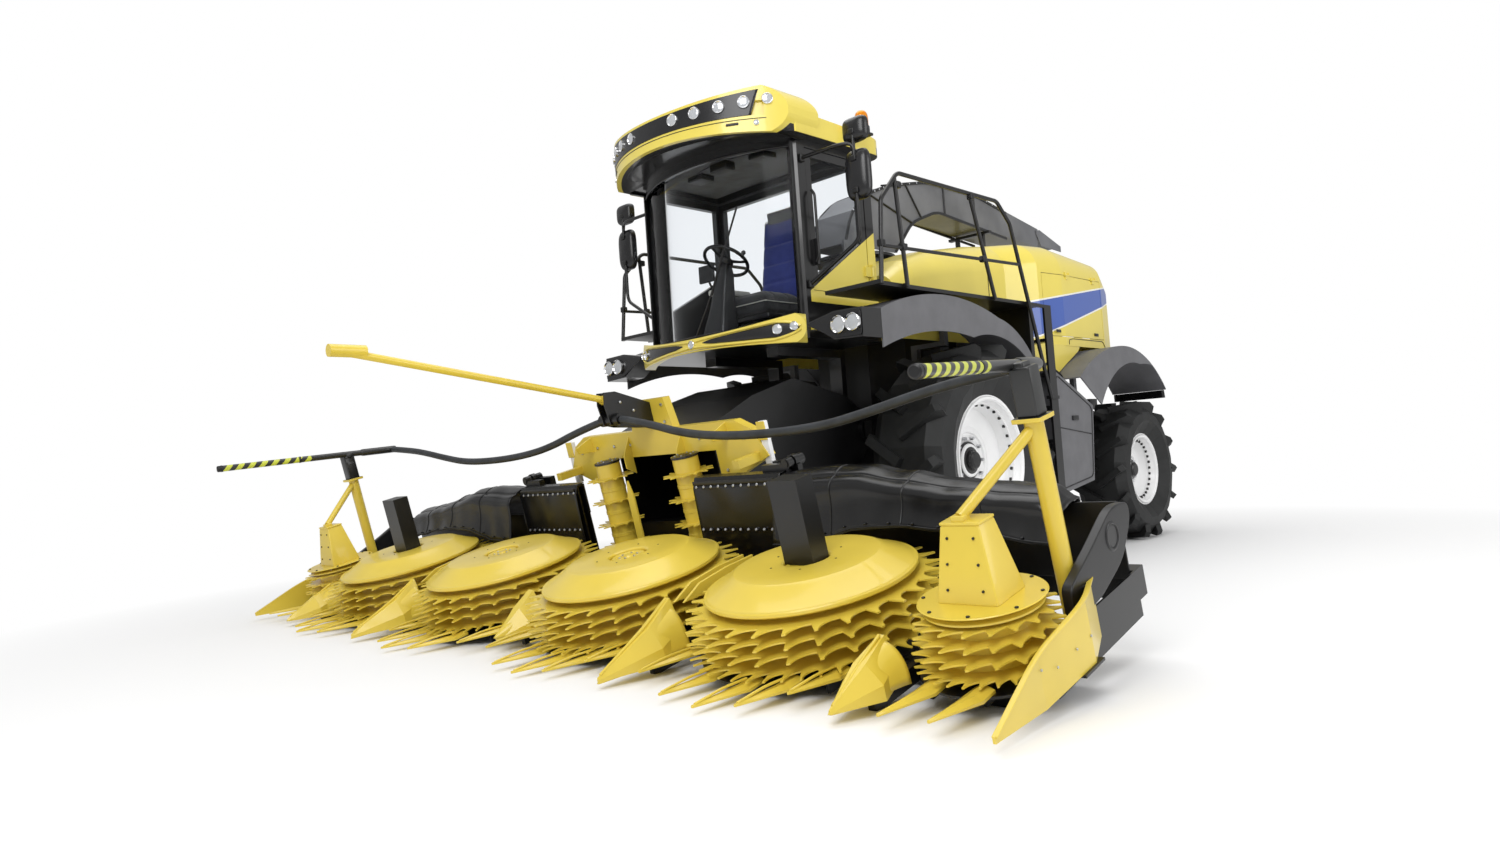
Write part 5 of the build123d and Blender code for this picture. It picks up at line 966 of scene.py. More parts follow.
def make_tower(side, label):
    """Small parts of the tower over an end rotor: base plate, rows of bolts, post flange and bar collars."""
    x, v, body = side * SMALL_X, SMALL_V, f"wing_{label}"
    plate = [(0.080, -0.0775), (0.281, -0.0775), (0.285, -0.074), (0.281, -0.070), (0.080, -0.070)]
    base = upright(plate, x, v, 64, True)
    piece(f"tower_{label}_plate", [base], "header_paint", body)
    spots = []
    for w in (-0.01, 0.10, 0.21):
        across, deep = tower_half(w)
        spots += [(x + k * across * 0.62, v - deep - 0.001, w) for k in (-1, 1)]
    front = studs(header(spots), LEAN_FRONT, 0.0065, 0.006)
    rim = studs(ring_spots(0.262, 8, x, v, -0.070, 0.3), LEAN_UP, 0.009, 0.007)
    piece(f"tower_{label}_bolts", [front, rim], "black_paint", body)
    cap = soft_box((x - 0.098, v - 0.068, 0.262), (x + 0.098, v + 0.068, 0.276), 0.005, header)
    flange = soft_box((side * 3.469, 0.174, 0.600), (side * 3.609, 0.314, 0.616), 0.005, header)
    piece(f"tower_{label}_caps", [cap, flange], "header_paint", body)
    start, end = header(bar_ends(side))
    axis = end - start
    axis /= np.linalg.norm(axis)
    collar = [(0.0265, -0.010), (0.0295, -0.008), (0.0295, 0.008), (0.0265, 0.010)]
    rings = [turned(collar, start + axis * a, axis, 32, True) for a in (0.86, 1.50)]
    plug = turned([(0.0, 0.008), (0.020, 0.007), (0.0275, 0.001), (0.0280, -0.028)], end, axis, 32)
    piece(f"bar_{label}_rings", [*rings, plug], "trim", body)


def make_posts():
    """White and yellow marker posts on the arch, and the boom's plates and bolts."""
    for side, label in SIDES:
        post = soft_box((side * 1.085, 1.060, 0.250), (side * 1.150, 1.100, 0.600), 0.008, header)
        head = soft_box((side * 1.080, 1.050, 0.470), (side * 1.155, 1.060, 0.600), 0.004, header)
        piece(f"marker_post_{label}", [post], "white_paint", "header")
        piece(f"marker_head_{label}", [head], "header_paint", "header")
    spots = ((0.56, 1.52), (0.56, 1.62), (0.68, 1.56))
    bolts = [studs(side_line(side * 0.046, *spots), (side, 0, 0), 0.012, 0.010) for side in (1, -1)]
    piece("bracket_bolts", bolts, "steel", "header")


# ---------------------------------------------------------------- wheels
# its end of the machine, its axle's (station, height), half its track, the rim's radius and the dish's depth
FRONT_WHEEL = ("front", (3.400, 1.000), 1.405, 0.535, 0.24)
REAR_WHEEL = ("rear", (6.600, 0.750), 1.370, 0.375, 0.18)


def wheel_ring(side, axle, x, radius, count):
    """Frame points evenly round an axle's (station, height), at x on its side of the machine."""
    ring = circle(radius, count) + axle
    return machine(grid(side * x, ring[:, 0], ring[:, 1]))


def make_wheel(name, body, side, axle, half_track, radius, deep, nuts):
    """Dished rim face: bead, sloping wall, flat disc, hub and its ring of nuts, and black studs on the wall as
    painted shadow of the tyre's lugs.
    """
    centre = machine([side * half_track, axle[0], axle[1]])
    face = [(radius, 0.0), (radius - 0.010, 0.012), (radius - 0.026, 0.010), (radius - 0.040, -0.020),
            (radius - 0.060, -0.45 * deep), (radius - 0.095, -0.85 * deep), (radius - 0.125, -deep),
            (0.62 * radius, -deep - 0.008), (0.56 * radius, -deep + 0.020), (0.46 * radius, -deep + 0.026),
            (0.44 * radius, -deep + 0.012), (0.30 * radius, -deep + 0.010)]
    piece(f"{name}_face", [turned(face, centre, (side, 0, 0), 96)], "white_paint", body, wall=0.002)
    hub = [(0.0, -deep + 0.100), (0.060, -deep + 0.098), (0.075, -deep + 0.086), (0.085, -deep + 0.050),
           (0.115, -deep + 0.044), (0.120, -deep + 0.030), (0.30 * radius, -deep + 0.024),
           (0.31 * radius, -deep + 0.006)]
    piece(f"{name}_hub", [turned(hub, centre, (side, 0, 0), 64)], "black_paint", body)
    spots = wheel_ring(side, axle, half_track - deep + 0.020, 0.37 * radius, nuts)
    piece(f"{name}_nuts", [studs(spots, (side, 0, 0), 0.017, 0.026)], "steel", body)
    # black studs round the rim's sloping wall: painted shadow of the tyre's lugs, not a part of the rim
    spots = wheel_ring(side, axle, half_track - 0.36 * deep, radius - 0.068, 30)
    piece(f"{name}_lug_shadow_studs", [studs(spots, (side, 0, 0), 0.015, 0.016)], "black_paint", body)


# ---------------------------------------------------------------- cab
LAMP_X = (0.250, 0.440, 0.620, 0.780)


def bow(x, out=0.0):
    """Station of the cab's bowed visor at x, moved out along its radius."""
    return BAND_S - np.sqrt((BAND_R + out) ** 2 - np.asarray(x, float) ** 2)


def lamp(name, spot, facing, radius, deep):
    """Round lamp: chromed bezel rolled outwards round a domed glass."""
    bezel = [(radius * 0.86, deep * 0.70), (radius * 0.93, deep), (radius, deep * 0.86), (radius, -deep * 0.2),
             (radius * 0.80, -deep * 0.2), (radius * 0.80, deep * 0.5)]
    dome = [(0.0, deep * 0.84), (radius * 0.34, deep * 0.80), (radius * 0.66, deep * 0.66),
            (radius * 0.86, deep * 0.46), (radius * 0.86, 0.0)]
    piece(f"{name}_bezel", [turned(bezel, spot, facing, 40, True)], "chrome", "chassis")
    piece(f"{name}_glass", [turned(dome, spot, facing, 40)], "lamp", "chassis")


def make_visor():
    """Dark lamp band set in the visor's groove, its lamps, end lenses, lip lamps and slots."""
    # the band's edges keep inside the visor's own: z = middle + rise x^2, drawn in at the right end
    t = np.linspace(0, 1, 110)[:, None]
    k = np.array([0.0, 0.012, 0.25, 0.5, 0.75, 0.988, 1.0])[None, :]
    x = -0.972 + 1.790 * t + 0.050 * k * t
    high = 3.820 + 0.085 * x ** 2 - 0.115 * np.clip((-0.80 - x) / 0.172, 0, 1) ** 1.5
    low = 3.684 + 0.012 * x ** 2 + 0.016 * np.clip((-0.80 - x) / 0.172, 0, 1)
    z = low + (high - low) * k
    out = 0.0035 - 0.0035 * (k < 0.001) - 0.0035 * (k > 0.999)
    piece("visor_band", [skin(machine(grid(x, bow(x, out), z)))], "band", "chassis", wall=0.002)
    for side, label in SIDES:
        for k, at in enumerate(LAMP_X):
            facing = (side * at, bow(at) - BAND_S, 0)
            spot = machine([side * at, bow(at, 0.004), 3.762 + 0.050 * at ** 2])
            lamp(f"visor_lamp_{label}_{k}", spot, facing, 0.046, 0.014)
        spot = machine([side * 0.912, bow(0.912, 0.002), 3.806])
        lamp(f"visor_end_lamp_{label}", spot, (side * 0.912, bow(0.912) - BAND_S, 0), 0.042, 0.014)
        spot = machine([side * 0.845, bow(0.845, 0.001), 3.632])
        lamp(f"lip_lamp_{label}", spot, (side * 0.66, -0.75, 0), 0.021, 0.010)
        path = machine([(side * at, bow(at, 0.001), 3.636) for at in (0.66, 0.70, 0.74)])
        piece(f"lip_slot_{label}", [carried(path, circle(1.0, 12) * (0.004, 0.010))], "trim", "chassis")
    x = np.linspace(-0.90, 0.90, 90)
    seam = machine(grid(x, bow(x, 0.001), 3.664))
    piece("visor_seam", [carried(seam, circle(0.003, 6))], "trim", "chassis")


def make_headliner():
    """Felt headliner under the roof, its arched seam, and the small speaker and lamp boxes on it."""
    x = np.linspace(-0.782, 0.782, 40)[:, None]
    t = np.linspace(0, 1, 30)[None, :]
    front = 1.42 + 0.30 * (x / 0.782) ** 2
    s = front + (2.52 - front) * t + 0.115 * (1 - t)
    z = 3.628 + 0.008 * np.cos(2.0 * x) - 0.012 * (1 - t) ** 6
    piece("headliner", [skin(machine(grid(x, s, z)))], "liner", "chassis", wall=0.006)
    x = np.linspace(-0.70, 0.70, 40)
    seam = machine(grid(x, 1.80 + 0.22 * (x / 0.7) ** 2, 3.630))
    piece("headliner_seam", [carried(seam, circle(0.005, 8))], "trim", "chassis")
    boxes = [soft_box((side * 0.28, 1.86, 3.585), (side * 0.46, 2.02, 3.636), 0.012) for side in (1, -1)]
    middle = soft_box((-0.10, 1.78, 3.560), (0.10, 1.90, 3.636), 0.015)
    piece("roof_console", [*boxes, middle], "trim", "chassis")


def arc(x, front, half, deep, out=0.0):
    """Station at x of an arc seen from above: front at its middle, and deep behind that where x is half."""
    radius = (half ** 2 + deep ** 2) / (2 * deep)
    return front + radius - np.sqrt((radius + out) ** 2 - np.asarray(x, float) ** 2)


def smile(x, out):
    """Station of the bowed bumper's face at x, moved out by a small amount."""
    return arc(x, 1.36, 0.96, 0.29, out)


def screen(x):
    """Station of the bowed front screen at x."""
    return arc(x, 1.42, 0.9, 0.33)


BUMPER_Z = 2.080                  # height of the bumper's middle line


def make_bumper():
    """Dark lens-shaped insets, lamps and lower lip of the bowed bumper, and the lamp pods beside it."""
    for side, label in SIDES:
        t = np.linspace(0, 1, 40)[:, None]
        k = np.linspace(-1, 1, 11)[None, :]
        x = 0.115 + 0.800 * t
        tall = (0.013 + 0.050 * t) * np.clip(t / 0.12, 0.02, 1) ** 0.5 * np.clip((1 - t) / 0.16, 0.02, 1) ** 0.5
        z = BUMPER_Z + 0.022 * t ** 2 + tall * k
        bulge = 0.0010 + 0.006 * (1 - k ** 2) * np.sin(np.pi * t)
        inset = skin(machine(grid(side * x, smile(x, bulge), z)))
        piece(f"bumper_inset_{label}", [inset], "band", "chassis", wall=0.002)
        for j, (at, high, size) in enumerate(((0.770, 2.100, 0.040), (0.885, 2.112, 0.034))):
            spot = machine([side * at, float(smile(at, 0.006)), high])
            lamp(f"bumper_lamp_{label}_{j}", spot, (side * 0.5 * at, -0.9, 0), size, 0.018)
        face = rounded([(0.968, 2.108), (1.228, 2.158), (1.482, 2.152), (1.482, 1.962), (1.228, 1.974)], 0.03)
        pod = prism(face * (side, 1.0), 1.6285, 1.6395, front_view)
        piece(f"lamp_pod_{label}", [pod], "band", "chassis", bevel=0.004)
        for j, at in enumerate((1.290, 1.420)):
            lamp(f"pod_lamp_{label}_{j}", machine([side * at, 1.6195, 2.064]), (0, -1, 0), 0.066, 0.020)
    lamp("bumper_lamp_middle", machine([0, float(smile(0, 0.002)), BUMPER_Z]), (0, -1, 0), 0.034, 0.016)
    x = np.linspace(-0.86, 0.86, 80)
    lip = machine(grid(x, smile(x, 0.002), 2.022 - 0.028 * (x / 0.86) ** 2))
    piece("bumper_lip", [carried(lip, circle(1.0, 10) * (0.010, 0.006))], "cab_paint", "chassis")
    for side, label in SIDES:
        t = np.linspace(0, 1, 60)
        for part, way in (("upper", 1), ("lower", -1)):
            x = 0.02 + 0.905 * t
            tall = (0.022 + 0.056 * t) * np.clip((1 - t) / 0.20, 0.02, 1) ** 0.5
            z = BUMPER_Z + 0.022 * t ** 2 + way * tall
            edge = carried(machine(grid(side * x, smile(x, 0.004), z)), circle(1.0, 10) * (0.012, 0.011))
            piece(f"bumper_rim_{part}_{label}", [edge], "cab_paint", "chassis")


def make_mirrors():
    """Mirror arms with clamps, rounded housings with their glass, and the beacon on its stem."""
    x, s = 1.369, 1.847
    for side, label in SIDES:
        arm = rod(machine([(side * 0.915, 1.790, 3.420), (side * 1.260, 1.790, 3.420), (side * x, s, 3.420),
                           (side * x, s, 2.700), (side * 0.915, 1.790, 2.440)]), 0.015, 0.07, (0.3, 1, 0.1))
        post = rod(machine([(side * x, s, 3.350), (side * x, s, 3.560)]), 0.015, up=(0, 1, 0))
        feet = [soft_box((side * 0.900, 1.765, z - 0.03), (side * 0.928, 1.815, z + 0.03), 0.006)
                for z in (3.42, 2.44)]
        clamps = [soft_box((side * (x - 0.026), s - 0.026, z - 0.02),
                           (side * (x + 0.026), s + 0.026, z + 0.02), 0.006) for z in (3.30, 3.06, 3.50)]
        piece(f"mirror_arm_{label}", [arm, post, *feet, *clamps], "black_paint", "chassis",
              ("mirrors",) if side > 0 else ())
        shells, faces = [], []
        for low, high in ((2.997, 3.377), (3.430, 3.620)):
            shells.append(shell_box(side * x, (low + high) / 2, 0.110, (high - low) / 2, 1.825, 1.905))
            ring = squircle(48) * (0.098, 0.5 * (high - low) - 0.014)
            faces.append(prism(ring + (side * x, (low + high) / 2), 1.9055, 1.9085, front_view))
        piece(f"mirror_shell_{label}", shells, "band", "chassis")
        piece(f"mirror_glass_{label}", faces, "chrome", "chassis")
    bracket = soft_box((0.995, 2.300, 3.650), (1.150, 2.420, 3.672), 0.006)
    stem = turned([(0.0, 0.0), (0.060, 0.0), (0.062, 0.006), (0.062, 0.050), (0.056, 0.060), (0.0, 0.060)],
                  machine([1.085, 2.360, 3.672]), (0, 0, 1), 40)
    tube_path = machine([(1.030, 2.330, 3.672), (1.030, 2.330, 3.700), (1.060, 2.345, 3.715)])
    piece("beacon_base", [bracket, stem, rod(tube_path, 0.010, 0.01, (0, 1, 0))], "trim", "chassis")
    z = np.linspace(0, 1, 18)
    ribs = 0.0012 * np.abs(np.sin(9 * np.pi * z))
    dome = np.column_stack([0.054 * np.clip(1 - z ** 5, 0, 1) ** 0.5 + ribs * (z < 0.85), 0.129 * z])
    piece("beacon_dome", [turned(dome, machine([1.085, 2.360, 3.7325]), (0, 0, 1), 48)], "amber", "chassis")


def shell_box(x, z, wide, tall, front, back):
    """Mirror housing: superellipse rings that swell from a small front to a full back edge."""
    a, b = squircle(56).T
    deep = np.linspace(0, 1, 12)[:, None]
    scale = np.clip(1 - (1 - deep) ** 3.2, 0.02, 1) ** 0.5
    scale[-1] = 0.985
    return tube(machine(grid(x + wide * scale * a, front + (back - front) * deep, z + tall * scale * b)))


def cushion(name, place, half, thick, finish, channels, rise):
    """Crowned cushion with its seam and sewn channels, puffed by a short cloth run; place gives frame points.

    Its outline is a superellipse, its sides pull in between the corners, and it swells as (1 - r^2) to a power.
    """
    u = np.linspace(-1, 1, 44)[:, None]
    v = np.linspace(-1, 1, 44)[None, :]
    pull = 1 - 0.035 * np.cos(np.pi * v / 2)
    tuck = 1 - 0.035 * np.cos(np.pi * u / 2)
    x, y = half[0] * u * pull, half[1] * v * tuck
    swell = np.clip((1 - np.abs(u) ** 6) * (1 - np.abs(v) ** 6), 0, 1) ** 0.45
    groove = sum(np.exp(-((v - c) / 0.035) ** 2) for c in channels)
    top = thick * (0.50 + 0.50 * swell) - 0.012 * groove * swell
    low = thick * 0.5 * (1 - swell)
    above, under = grid(x, y, top), grid(x, y, low)
    made = piece(name, [skin(place(above)), skin(place(under))], finish, "chassis", sharp=60.0)
    puff(made)
    edge = np.concatenate([above[0], above[1:, -1], above[-1, -2::-1], above[-2:0:-1, 0]])
    edge[:, 2] = thick * 0.5
    loop = np.concatenate([edge, edge[:2]])[::2] * (1.004, 1.004, 1.0)
    piece(f"{name}_piping", [carried(place(loop), circle(0.0045, 8), rise)], "console", "chassis")


PUFF_LIMIT = 0.006                # how far the cloth run may move a point


def puff(made):
    """Blow a cushion up a little as cloth, then hold each point near its drawn place."""
    bpy.context.view_layer.objects.active = made
    drawn = made.modifiers.new("even", "REMESH")
    drawn.mode, drawn.voxel_size, drawn.use_smooth_shade = "VOXEL", 0.006, True
    apply_modifiers(made)
    before = np.empty(len(made.data.vertices) * 3)
    made.data.vertices.foreach_get("co", before)
    cloth = made.modifiers.new("cloth", "CLOTH")
    cloth.settings.use_pressure = True
    cloth.settings.uniform_pressure_force = 4.0
    cloth.settings.effector_weights.gravity = 0.0
    cloth.settings.quality = 4
    scene = bpy.context.scene
    for number in range(1, 21):
        scene.frame_set(number)
    apply_modifiers(made)
    scene.frame_set(1)
    after = np.empty_like(before)
    made.data.vertices.foreach_get("co", after)
    moved = (after - before).reshape(-1, 3)
    length = np.linalg.norm(moved, axis=1, keepdims=True)
    moved *= np.minimum(1.0, PUFF_LIMIT / np.maximum(length, 1e-9))
    made.data.vertices.foreach_set("co", (before.reshape(-1, 3) + moved).reshape(-1))
    made.data.shade_smooth()
    made.data.update()


def apply_modifiers(made):
    """Make an object's modifiers part of its mesh."""
    shown = made.evaluated_get(bpy.context.evaluated_depsgraph_get())
    mesh = bpy.data.meshes.new_from_object(shown)
    made.modifiers.clear()
    made.data = mesh


def make_seat():
    """Operator's seat: sprung base, two cushions, bolster, armrest with joystick, and its backrest shell."""
    bellows = [soft_box((-0.19, 2.07, z), (0.19, 2.41, z + 0.042), 0.018, cab)
               for z in (0.04, 0.085, 0.13, 0.175)]
    base = [soft_box((-0.20, 2.06, 0.0), (0.20, 2.42, 0.045), 0.012, cab),
            soft_box((-0.24, 2.02, 0.215), (0.24, 2.46, 0.262), 0.015, cab)]
    piece("seat_base", bellows + base, "trim", "chassis", ("cab_interior",))

    def flat(p):
        return cab(np.asarray(p) + (0.0, 2.225, 0.255))

    def leaning(p):
        x, a, b = np.moveaxis(np.asarray(p), -1, 0)
        return cab(grid(x, 2.530 + 0.150 * (a + 0.36) - b * 0.98, 0.790 + a * 0.98 + 0.15 * b))

    cushion("seat_cushion", flat, (0.250, 0.240), 0.200, "seat", (-0.45, 0.30), (0, 0, 1))
    cushion("seat_back", leaning, (0.245, 0.400), 0.110, "back", (-0.55, -0.1, 0.35), (0, -1, 0.15))
    shell = soft_box((-0.235, 2.525, 0.420), (0.235, 2.560, 0.860), 0.016, cab)
    piece("seat_shell", [shell], "trim", "chassis")

    def headrest(p):
        p = np.asarray(p)
        return cab(grid(p[..., 0], 2.615 - p[..., 2] * 0.9, 1.185 + p[..., 1]))

    cushion("seat_bolster", headrest, (0.200, 0.075), 0.085, "liner", (), (0, -1, 0.1))
    tray = soft_box((-0.42, 1.97, 0.495), (-0.29, 2.39, 0.552), 0.022, cab)
    stay = [soft_box((-0.33, 2.262, 0.29), (-0.295, 2.338, 0.50), 0.006, cab),
            soft_box((-0.33, 2.262, 0.28), (-0.24, 2.338, 0.32), 0.006, cab)]
    piece("armrest", [tray], "console", "chassis")
    boot = turned([(0.030, 0.0), (0.028, 0.02), (0.018, 0.045), (0.012, 0.06), (0.0, 0.06)],
                  cab([-0.355, 2.03, 0.55]), (0, 0.15, 1), 24)
    grip = turned([(0.010, 0.05), (0.017, 0.07), (0.021, 0.10), (0.024, 0.13), (0.022, 0.155), (0.0, 0.168)],
                  cab([-0.355, 2.03, 0.545]), (0, 0.15, 1), 24)
    display = soft_box((-0.43, 1.885, 0.60), (-0.25, 1.915, 0.75), 0.010, cab)
    arm = rod(cab([(-0.34, 2.00, 0.54), (-0.34, 1.93, 0.58), (-0.34, 1.92, 0.66)]), 0.010, 0.03, (1, 0, 0))
    piece("armrest_controls", [*stay, boot, grip, display, arm], "trim", "chassis")


def make_steering():
    """Steering column with its boot and cowl, and a three-spoked wheel with a padded rim."""
    foot, top = cab([0, 1.690, 0.06]), cab([0, 1.800, 0.70])
    lean = (top - foot) / np.linalg.norm(top - foot)
    path = foot + lean * np.linspace(0.0, 0.62, 9)[:, None]
    wide = np.array([0.135, 0.128, 0.112, 0.098, 0.088, 0.080, 0.072, 0.066, 0.045])
    cowl = carried(path, slab(1, 0.8, 0.5), (0, 1, 0), wide)
    base = soft_box((-0.14, 1.58, 0.0), (0.14, 1.80, 0.065), 0.02, cab)
    lean = np.array([0.0, 0.53, 0.848])
    across = np.array([1.0, 0.0, 0.0])
    ahead = np.cross(lean, across)
    hub = turned([(0.0, 0.032), (0.040, 0.030), (0.062, 0.018), (0.066, 0.0), (0.040, -0.03), (0.0, -0.03)],
                 top, lean, 32)
    t = np.linspace(0, 2 * np.pi, 64, endpoint=False)[:, None]
    k = np.linspace(0, 2 * np.pi, 14, endpoint=False)[None, :]
    radius = 0.190 + 0.0145 * np.cos(k)
    high = 0.014 + 0.0145 * np.sin(k) - 0.0015 * np.cos(24 * t) * (np.cos(k) < 0)
    flat = (radius * np.cos(t))[..., None] * across + (radius * np.sin(t))[..., None] * ahead
    rim = top + flat + high[..., None] * lean
    spokes = []
    for turn in (0.35, math.pi - 0.35, -math.pi / 2):
        way = math.cos(turn) * across + math.sin(turn) * ahead
        line = top + way * [[0.035], [0.08], [0.14], [0.186]] + lean * [[0.016], [0.010], [0.008], [0.014]]
        spokes.append(carried(line, circle(1.0, 12) * (0.022, 0.007), lean, [1.2, 0.9, 0.7, 0.8]))
    knob = turned([(0.0, 0.075), (0.014, 0.070), (0.020, 0.055), (0.014, 0.035), (0.008, 0.02), (0.0, 0.02)],
                  top + 0.185 * across, lean, 20)
    piece("steering", [cowl, base, hub, skin(rim, True, True), *spokes, knob], "trim", "chassis")


def make_pillars():
    """Rubber gaskets round the front screen, its wiper, and the grab rail on the cab's door."""
    x = np.linspace(-0.855, 0.855, 60)
    strips = [carried(machine(grid(x, screen(x) - 0.002, z)), circle(1.0, 8) * (0.008, 0.010))
              for z in (2.146, 3.514)]
    section = slab(0.022, 0.008, 0.006)
    for side in (1, -1):
        edge = machine(grid(side * 0.872, screen(0.872) - 0.004, np.array([2.10, 2.6, 3.1, 3.55])))
        strips.append(carried(edge, section, (1, 0, 0)))
    piece("screen_gaskets", strips, "trim", "chassis")
    motor = soft_box((-0.06, 1.385, 2.085), (0.06, 1.425, 2.135), 0.012)
    arm = rod(machine([(0.0, 1.395, 2.12), (0.20, 1.400, 2.42), (0.36, 1.425, 2.78)]), 0.007, 0.1, (0, 1, 0))
    blade = rod(machine([(0.20, 1.420, 2.45), (0.36, 1.435, 2.78), (0.50, 1.468, 3.10)]), 0.008, 0.1, (0, 1, 0))
    piece("wiper", [motor, arm, blade], "trim", "chassis")
    rail = machine([(0.925, 1.862, 2.62), (0.955, 1.862, 2.66), (0.955, 1.862, 3.14), (0.925, 1.862, 3.18)])
    piece("grab_rail", [rod(rail, 0.011, 0.03, (0, 1, 0))], "black_paint", "cab_door")


# ---------------------------------------------------------------- hood, walkways and spout
DECK_Z, RAIL_X = 2.345, 1.512     # height of the walkways, and x of their outer rails
# station and height over the deck of each clamp
RAIL_CLAMPS = ((2.160, 0.77), (3.210, 0.84), (2.185, 0.30), (3.330, 0.33), (1.905, 0.30))


def make_hood_lines():
    """Pressed seams, latches and sills of the hood and its doors, and clamps on the handrails."""
    for side, label in SIDES:
        seam = side_line(side * 0.9915, (4.30, 2.075), (4.30, 2.50), (4.30, 2.75))
        step = side_line(side * 1.2415, (5.36, 2.075), (5.36, 2.12), (5.44, 2.135), (6.14, 2.135),
                         (6.19, 2.075))
        lines = [carried(path, circle(0.004, 6), (1, 0, 0)) for path in (seam, bent(step, 0.03))]
        piece(f"hood_seams_{label}", lines, "trim", "chassis")
        body = f"hood_door_{label}"
        latches = [soft_box((side * 1.240, s, 2.185), (side * 1.250, s + 0.09, 2.215), 0.004)
                   for s in (5.10, 5.95)]
        piece(f"hood_door_{label}_latches", latches, "trim", body)
        sill = rounded([(4.580, 1.806), (4.890, 1.672), (5.030, 1.748), (5.300, 1.885), (5.560, 2.010),
                        (5.620, 2.068), (4.580, 2.068)], 0.03)
        panel = prism(sill, side * 1.214, side * 1.234, side_view)
        piece(f"hood_sill_{label}", [panel], "hood_paint", "chassis", bevel=0.006)
    spots = [(side * RAIL_X, s, DECK_Z + up) for side in (1, -1) for s, up in RAIL_CLAMPS]
    half = np.array((0.024, 0.026, 0.026))
    piece("rail_clamps", [soft_box(spot - half, spot + half, 0.008) for spot in spots], "trim", "chassis")


def make_box_lines():
    """Lid seam, latch and grab rail of each service box, and the mudflap behind each rear wheel."""
    for side, label in SIDES:
        seam = side_line(side * 1.4415, (4.59, 1.24), (5.27, 1.16))
        lid = side_line(side * 1.4415, (4.60, 0.67), (5.215, 0.75), (5.30, 1.42), (4.90, 1.60), (4.60, 1.735),
                        (4.60, 0.67))
        lines = [carried(seam, circle(0.005, 6), (1, 0, 0)),
                 carried(bent(lid, 0.06), circle(0.006, 6), (1, 0, 0))]
        latch = soft_box((side * 1.440, 4.86, 1.30), (side * 1.456, 4.98, 1.345), 0.006)
        rail = rod(side_line(side * 1.30, (4.66, 1.76), (4.70, 1.87), (5.02, 1.74), (5.06, 1.60)), 0.012, 0.05,
                   (1, 0, 0))
        piece(f"service_box_{label}_trim", [*lines, latch, rail], "trim", "chassis")
        t = np.linspace(0, 1, 14)[None, :]
        x = np.linspace(0.90, 1.47, 16)[:, None]
        s = 7.100 + 0.008 * np.sin(5 * x) * t + 0.012 * t
        flap = skin(machine(grid(side * x, s, 1.600 - 0.085 * t)))
        piece(f"mudflap_{label}", [flap], "cover", "chassis", wall=0.008)


# station and height along the spout's upper and lower edge, and the ends of the ribs on its side
SPOUT_TOP = ((3.160, 3.065), (3.290, 3.390), (3.560, 3.600), (3.940, 3.745), (4.600, 3.880), (5.580, 3.880),
             (6.200, 3.780))
SPOUT_LOW = ((3.960, 3.065), (4.280, 3.400), (4.740, 3.572), (6.170, 3.460))
SPOUT_RIBS = (((3.585, 3.590), (4.270, 3.405)), ((4.20, 3.79), (4.45, 3.475)), ((4.90, 3.865), (4.90, 3.575)),
              ((5.50, 3.865), (5.50, 3.525)))


def make_spout_ribs():
    """Black flanges, cross ribs, bolts and the flap's cylinder along the spout."""
    half = 0.205
    section = [(-0.006, -0.014), (0.006, -0.014), (0.006, 0.014), (-0.006, 0.014)]
    parts, spots = [], []
    for side in (1, -1):
        for edge, lift in ((SPOUT_TOP, -0.010), (SPOUT_LOW, 0.010)):
            path = side_line(side * (half + 0.004), *((s, z + lift) for s, z in edge))
            parts.append(carried(bent(path, 0.12), section))
        parts += [rod(side_line(side * (half + 0.006), *ends), 0.010, up=(1, 0, 0)) for ends in SPOUT_RIBS]
        for (s0, z0), (s1, z1) in zip(SPOUT_TOP[1:], SPOUT_TOP[2:]):
            k = np.linspace(0.1, 0.9, 5)
            spots.append(grid(side * (half + 0.009), s0 + (s1 - s0) * k, z0 + (z1 - z0) * k - 0.010))
    piece("spout_flanges", parts, "black_paint", "spout")
    bolts = [studs(machine(s), (1 if s[0, 0] > 0 else -1, 0, 0), 0.009, 0.007) for s in spots]
    piece("spout_bolts", bolts, "steel", "spout")
    barrel = rod(machine([(0.0, 4.75, 3.905), (0.0, 5.25, 3.905)]), 0.022, up=(1, 0, 0), steps=20)
    ears = [soft_box((-0.03, 4.70, 3.870), (0.03, 4.76, 3.925), 0.006),
            soft_box((-0.02, 5.24, 3.872), (0.02, 5.29, 3.922), 0.006)]
    piece("flap_cylinder", [barrel, *ears], "black_paint", "spout")
    line = ((0.10, 3.95, 3.760), (0.10, 4.30, 3.835), (0.07, 4.62, 3.897), (0.03, 4.80, 3.915))
    hoses = [rod(machine([(side * x, s, z) for x, s, z in line]), 0.009, 0.15, (1, 0, 0)) for side in (1, -1)]
    piece("spout_pipes", hoses, "trim", "spout")
    rim = [(0.388, -0.004), (0.394, 0.004), (0.394, 0.026), (0.388, 0.034)]
    ring = turned(rim, machine([0, 3.560, 2.960]), (0, 0, 1), 96)
    t = 2 * np.pi * np.arange(20) / 20
    heads = machine(grid(0.372 * np.cos(t), 3.560 + 0.372 * np.sin(t), 2.990))
    piece("turntable_rim", [ring], "black_paint", "spout_ring", wall=0.002)
    piece("turntable_bolts", [studs(heads, (0, 0, 1), 0.011, 0.010)], "steel", "spout_ring")


